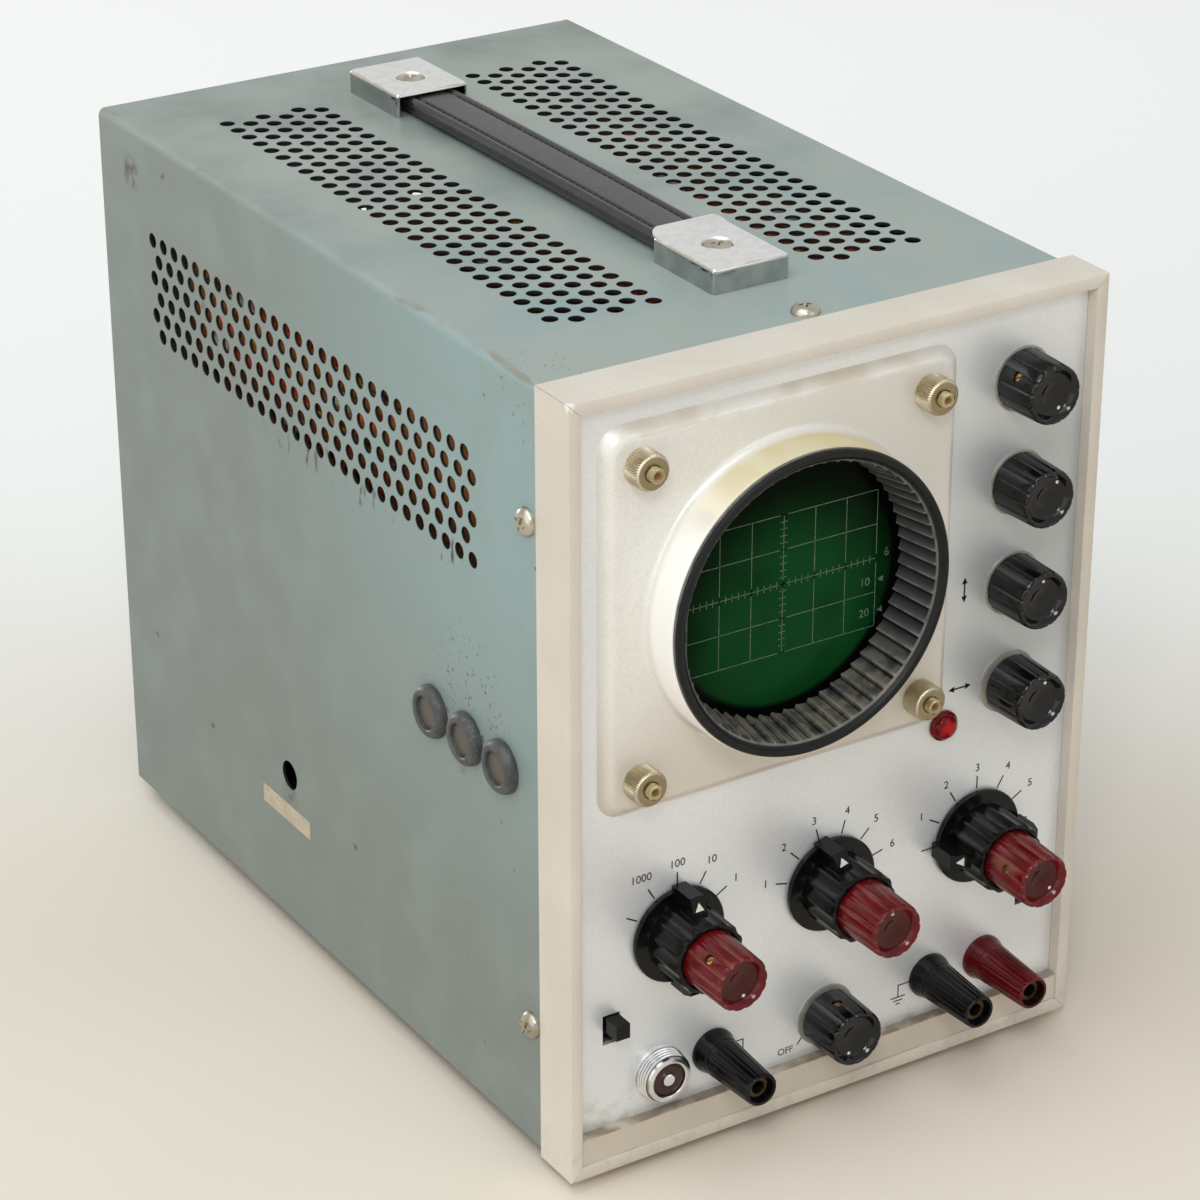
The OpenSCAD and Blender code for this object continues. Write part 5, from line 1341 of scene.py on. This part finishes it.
def stage_paint():
    f = Finish("stage_paint", emission_color=(1, 1, 1, 1))
    floor = f.mix(f.blots(260, 3, 0.3, 0.7), "#e4d9ca", "#e9dfd2")
    away = f.vector("DOT_PRODUCT", f.place, HEADING)
    f.colour(f.mix(f.fade(away, 60, 460), floor, "#f7f8f6"))
    f.gloss(f.noise(90, 3), 0.6, 0.75)
    reach = f.vector("LENGTH", f.vector("MULTIPLY", f.place, (1, 1, 0)))
    glow = f.either(f.fade(away, 100, 1100, 0.16), f.fade(reach, 600, 2400, 0.45))
    f.tree.links.new(f.both(background_rays(f.tree), glow), f.shader.inputs["Emission Strength"])
    return f.material


def stage():
    floor_z = corners("rubber_feet")[0].z
    steps = 64
    rings = [[(0, 0, floor_z)]]
    for radius in (300, 900, 2000, 4000, 9000):
        angles = [math.tau * i / steps for i in range(steps)]
        rings.append([(radius * math.cos(a), radius * math.sin(a), floor_z) for a in angles])
    floor = bpy.data.objects.new("floor", mesh_of("floor", lofted(rings)))
    floor.data.materials.append(stage_paint())
    bpy.context.scene.collection.objects.link(floor)


def area_light(name, place, target, size, power, colour=(1, 1, 1)):
    lamp = bpy.data.lights.new(name, "AREA")
    lamp.size = size * MM
    lamp.energy = power
    lamp.color = colour
    holder = bpy.data.objects.new(name, lamp)
    holder.location = ORIGIN + Vector(place) * MM
    holder.rotation_euler = (Vector(target) - Vector(place)).to_track_quat("-Z", "Y").to_euler()
    bpy.context.scene.collection.objects.link(holder)


def light():
    world = bpy.data.worlds.new("studio")
    world.use_nodes = True
    background = world.node_tree.nodes["Background"]
    background.inputs["Color"].default_value = tone("#fcfcfb")
    strength = world.node_tree.nodes.new("ShaderNodeMapRange")
    strength.inputs["To Min"].default_value = 0.45
    strength.inputs["To Max"].default_value = 0.8
    world.node_tree.links.new(background_rays(world.node_tree), strength.inputs["Value"])
    world.node_tree.links.new(strength.outputs["Result"], background.inputs["Strength"])
    bpy.context.scene.world = world
    heart = (0, 120, 110)
    area_light("sky", (-840, -120, 2340), heart, 2000, 23, (0.92, 1.0, 0.99))
    area_light("window", (-2200, -300, 700), heart, 2200, 14)
    area_light("room", (700, -1500, 1100), heart, 1000, 2.4)
    area_light("lamp", (-900, -1200, 1500), heart, 450, 10)
    area_light("rear", (-400, 2600, 260), heart, 500, 13)
    bpy.context.scene.view_settings.view_transform = "Standard"


def camera():
    data = bpy.data.cameras.new("camera")
    data.lens = 114.26
    data.sensor_width = 36
    data.shift_x = 0.001045
    data.shift_y = 0.000858
    holder = bpy.data.objects.new("camera", data)
    holder.location = ORIGIN + Vector((-535.811, -733.385, 598.309)) * MM
    holder.rotation_euler = [math.radians(a) for a in (63.9129, 0.0416, -32.0976)]
    bpy.context.scene.collection.objects.link(holder)
    bpy.context.scene.camera = holder


STEPS = (
    camera, stage, light, bezel, case_screws, rear_screws, blanking_plugs, paper_label, handle_caps,
    handle_strap, screen_surround, hood, graticule, thumb_nuts, small_knobs, dual_controls, coax_socket,
    binding_posts, pilot_lamp, tag_boards, printing,
)
for make in STEPS:
    make()

dress(PANEL, "front_panel")
dress(strip_paint(), "sill_strip", edge=0.3)
dress(COVER, "wrap_cover")
dress(rubber("foot_rubber", "#1c1c1c", "#2a2a29", "#1c1c1c"), "rubber_feet", "cord_grommet", edge=0.4)
dress(BLACK, "fuse_holder", "left_slide_lever", "right_slide_lever", edge=0.35)
dress(BRASS, *(name for name in nodes if name.endswith("_shaft")))
# Finish, dark and light colour, grain, roughness and metal of the plainer nodes
PLAIN_NODES = {
    ("bottom_plate", "rear_panel"): ("plate_paint", "#7a827c", "#838b85", 0.5, (0.45, 0.6)),
    # The deck and the screen can are painted much darker than bare zinc: painted shade inside the cabinet.
    ("chassis_deck",): ("zinc", "#2f302e", "#40413d", 0.6, (0.5, 0.7), 0.3),
    ("tube_screen_can",): ("dark_can", "#2a1c12", "#80481f", 1.4, (0.5, 0.7)),
    ("control_nuts",): ("steel", "#7d7c76", "#96958e", 0.5, (0.3, 0.5), 1.0),
    ("post_studs",): ("bush", "#4a3f30", "#63543f", 0.5, (0.35, 0.55), 1.0),
    ("potentiometers", "switch_bodies"): ("control_body", "#5d5b54", "#75736a", 0.6, (0.4, 0.6)),
    ("picture_tube",): ("tube_glass", "#262e29", "#39443d", 0.9, (0.1, 0.2)),
    ("power_transformer",): ("core_iron", "#2b2622", "#5c3a1e", 0.7, (0.5, 0.7)),
    ("valves",): ("valve_glass", "#1c2221", "#39403e", 0.8, (0.08, 0.2)),
    ("circuit_board",): ("board", "#5b3d22", "#74522f", 0.5, (0.5, 0.7)),
    ("capacitors",): ("capacitor", "#8d3414", "#b3481c", 0.6, (0.3, 0.5)),
}
for names, finish in PLAIN_NODES.items():
    dress(plain(*finish), *names)
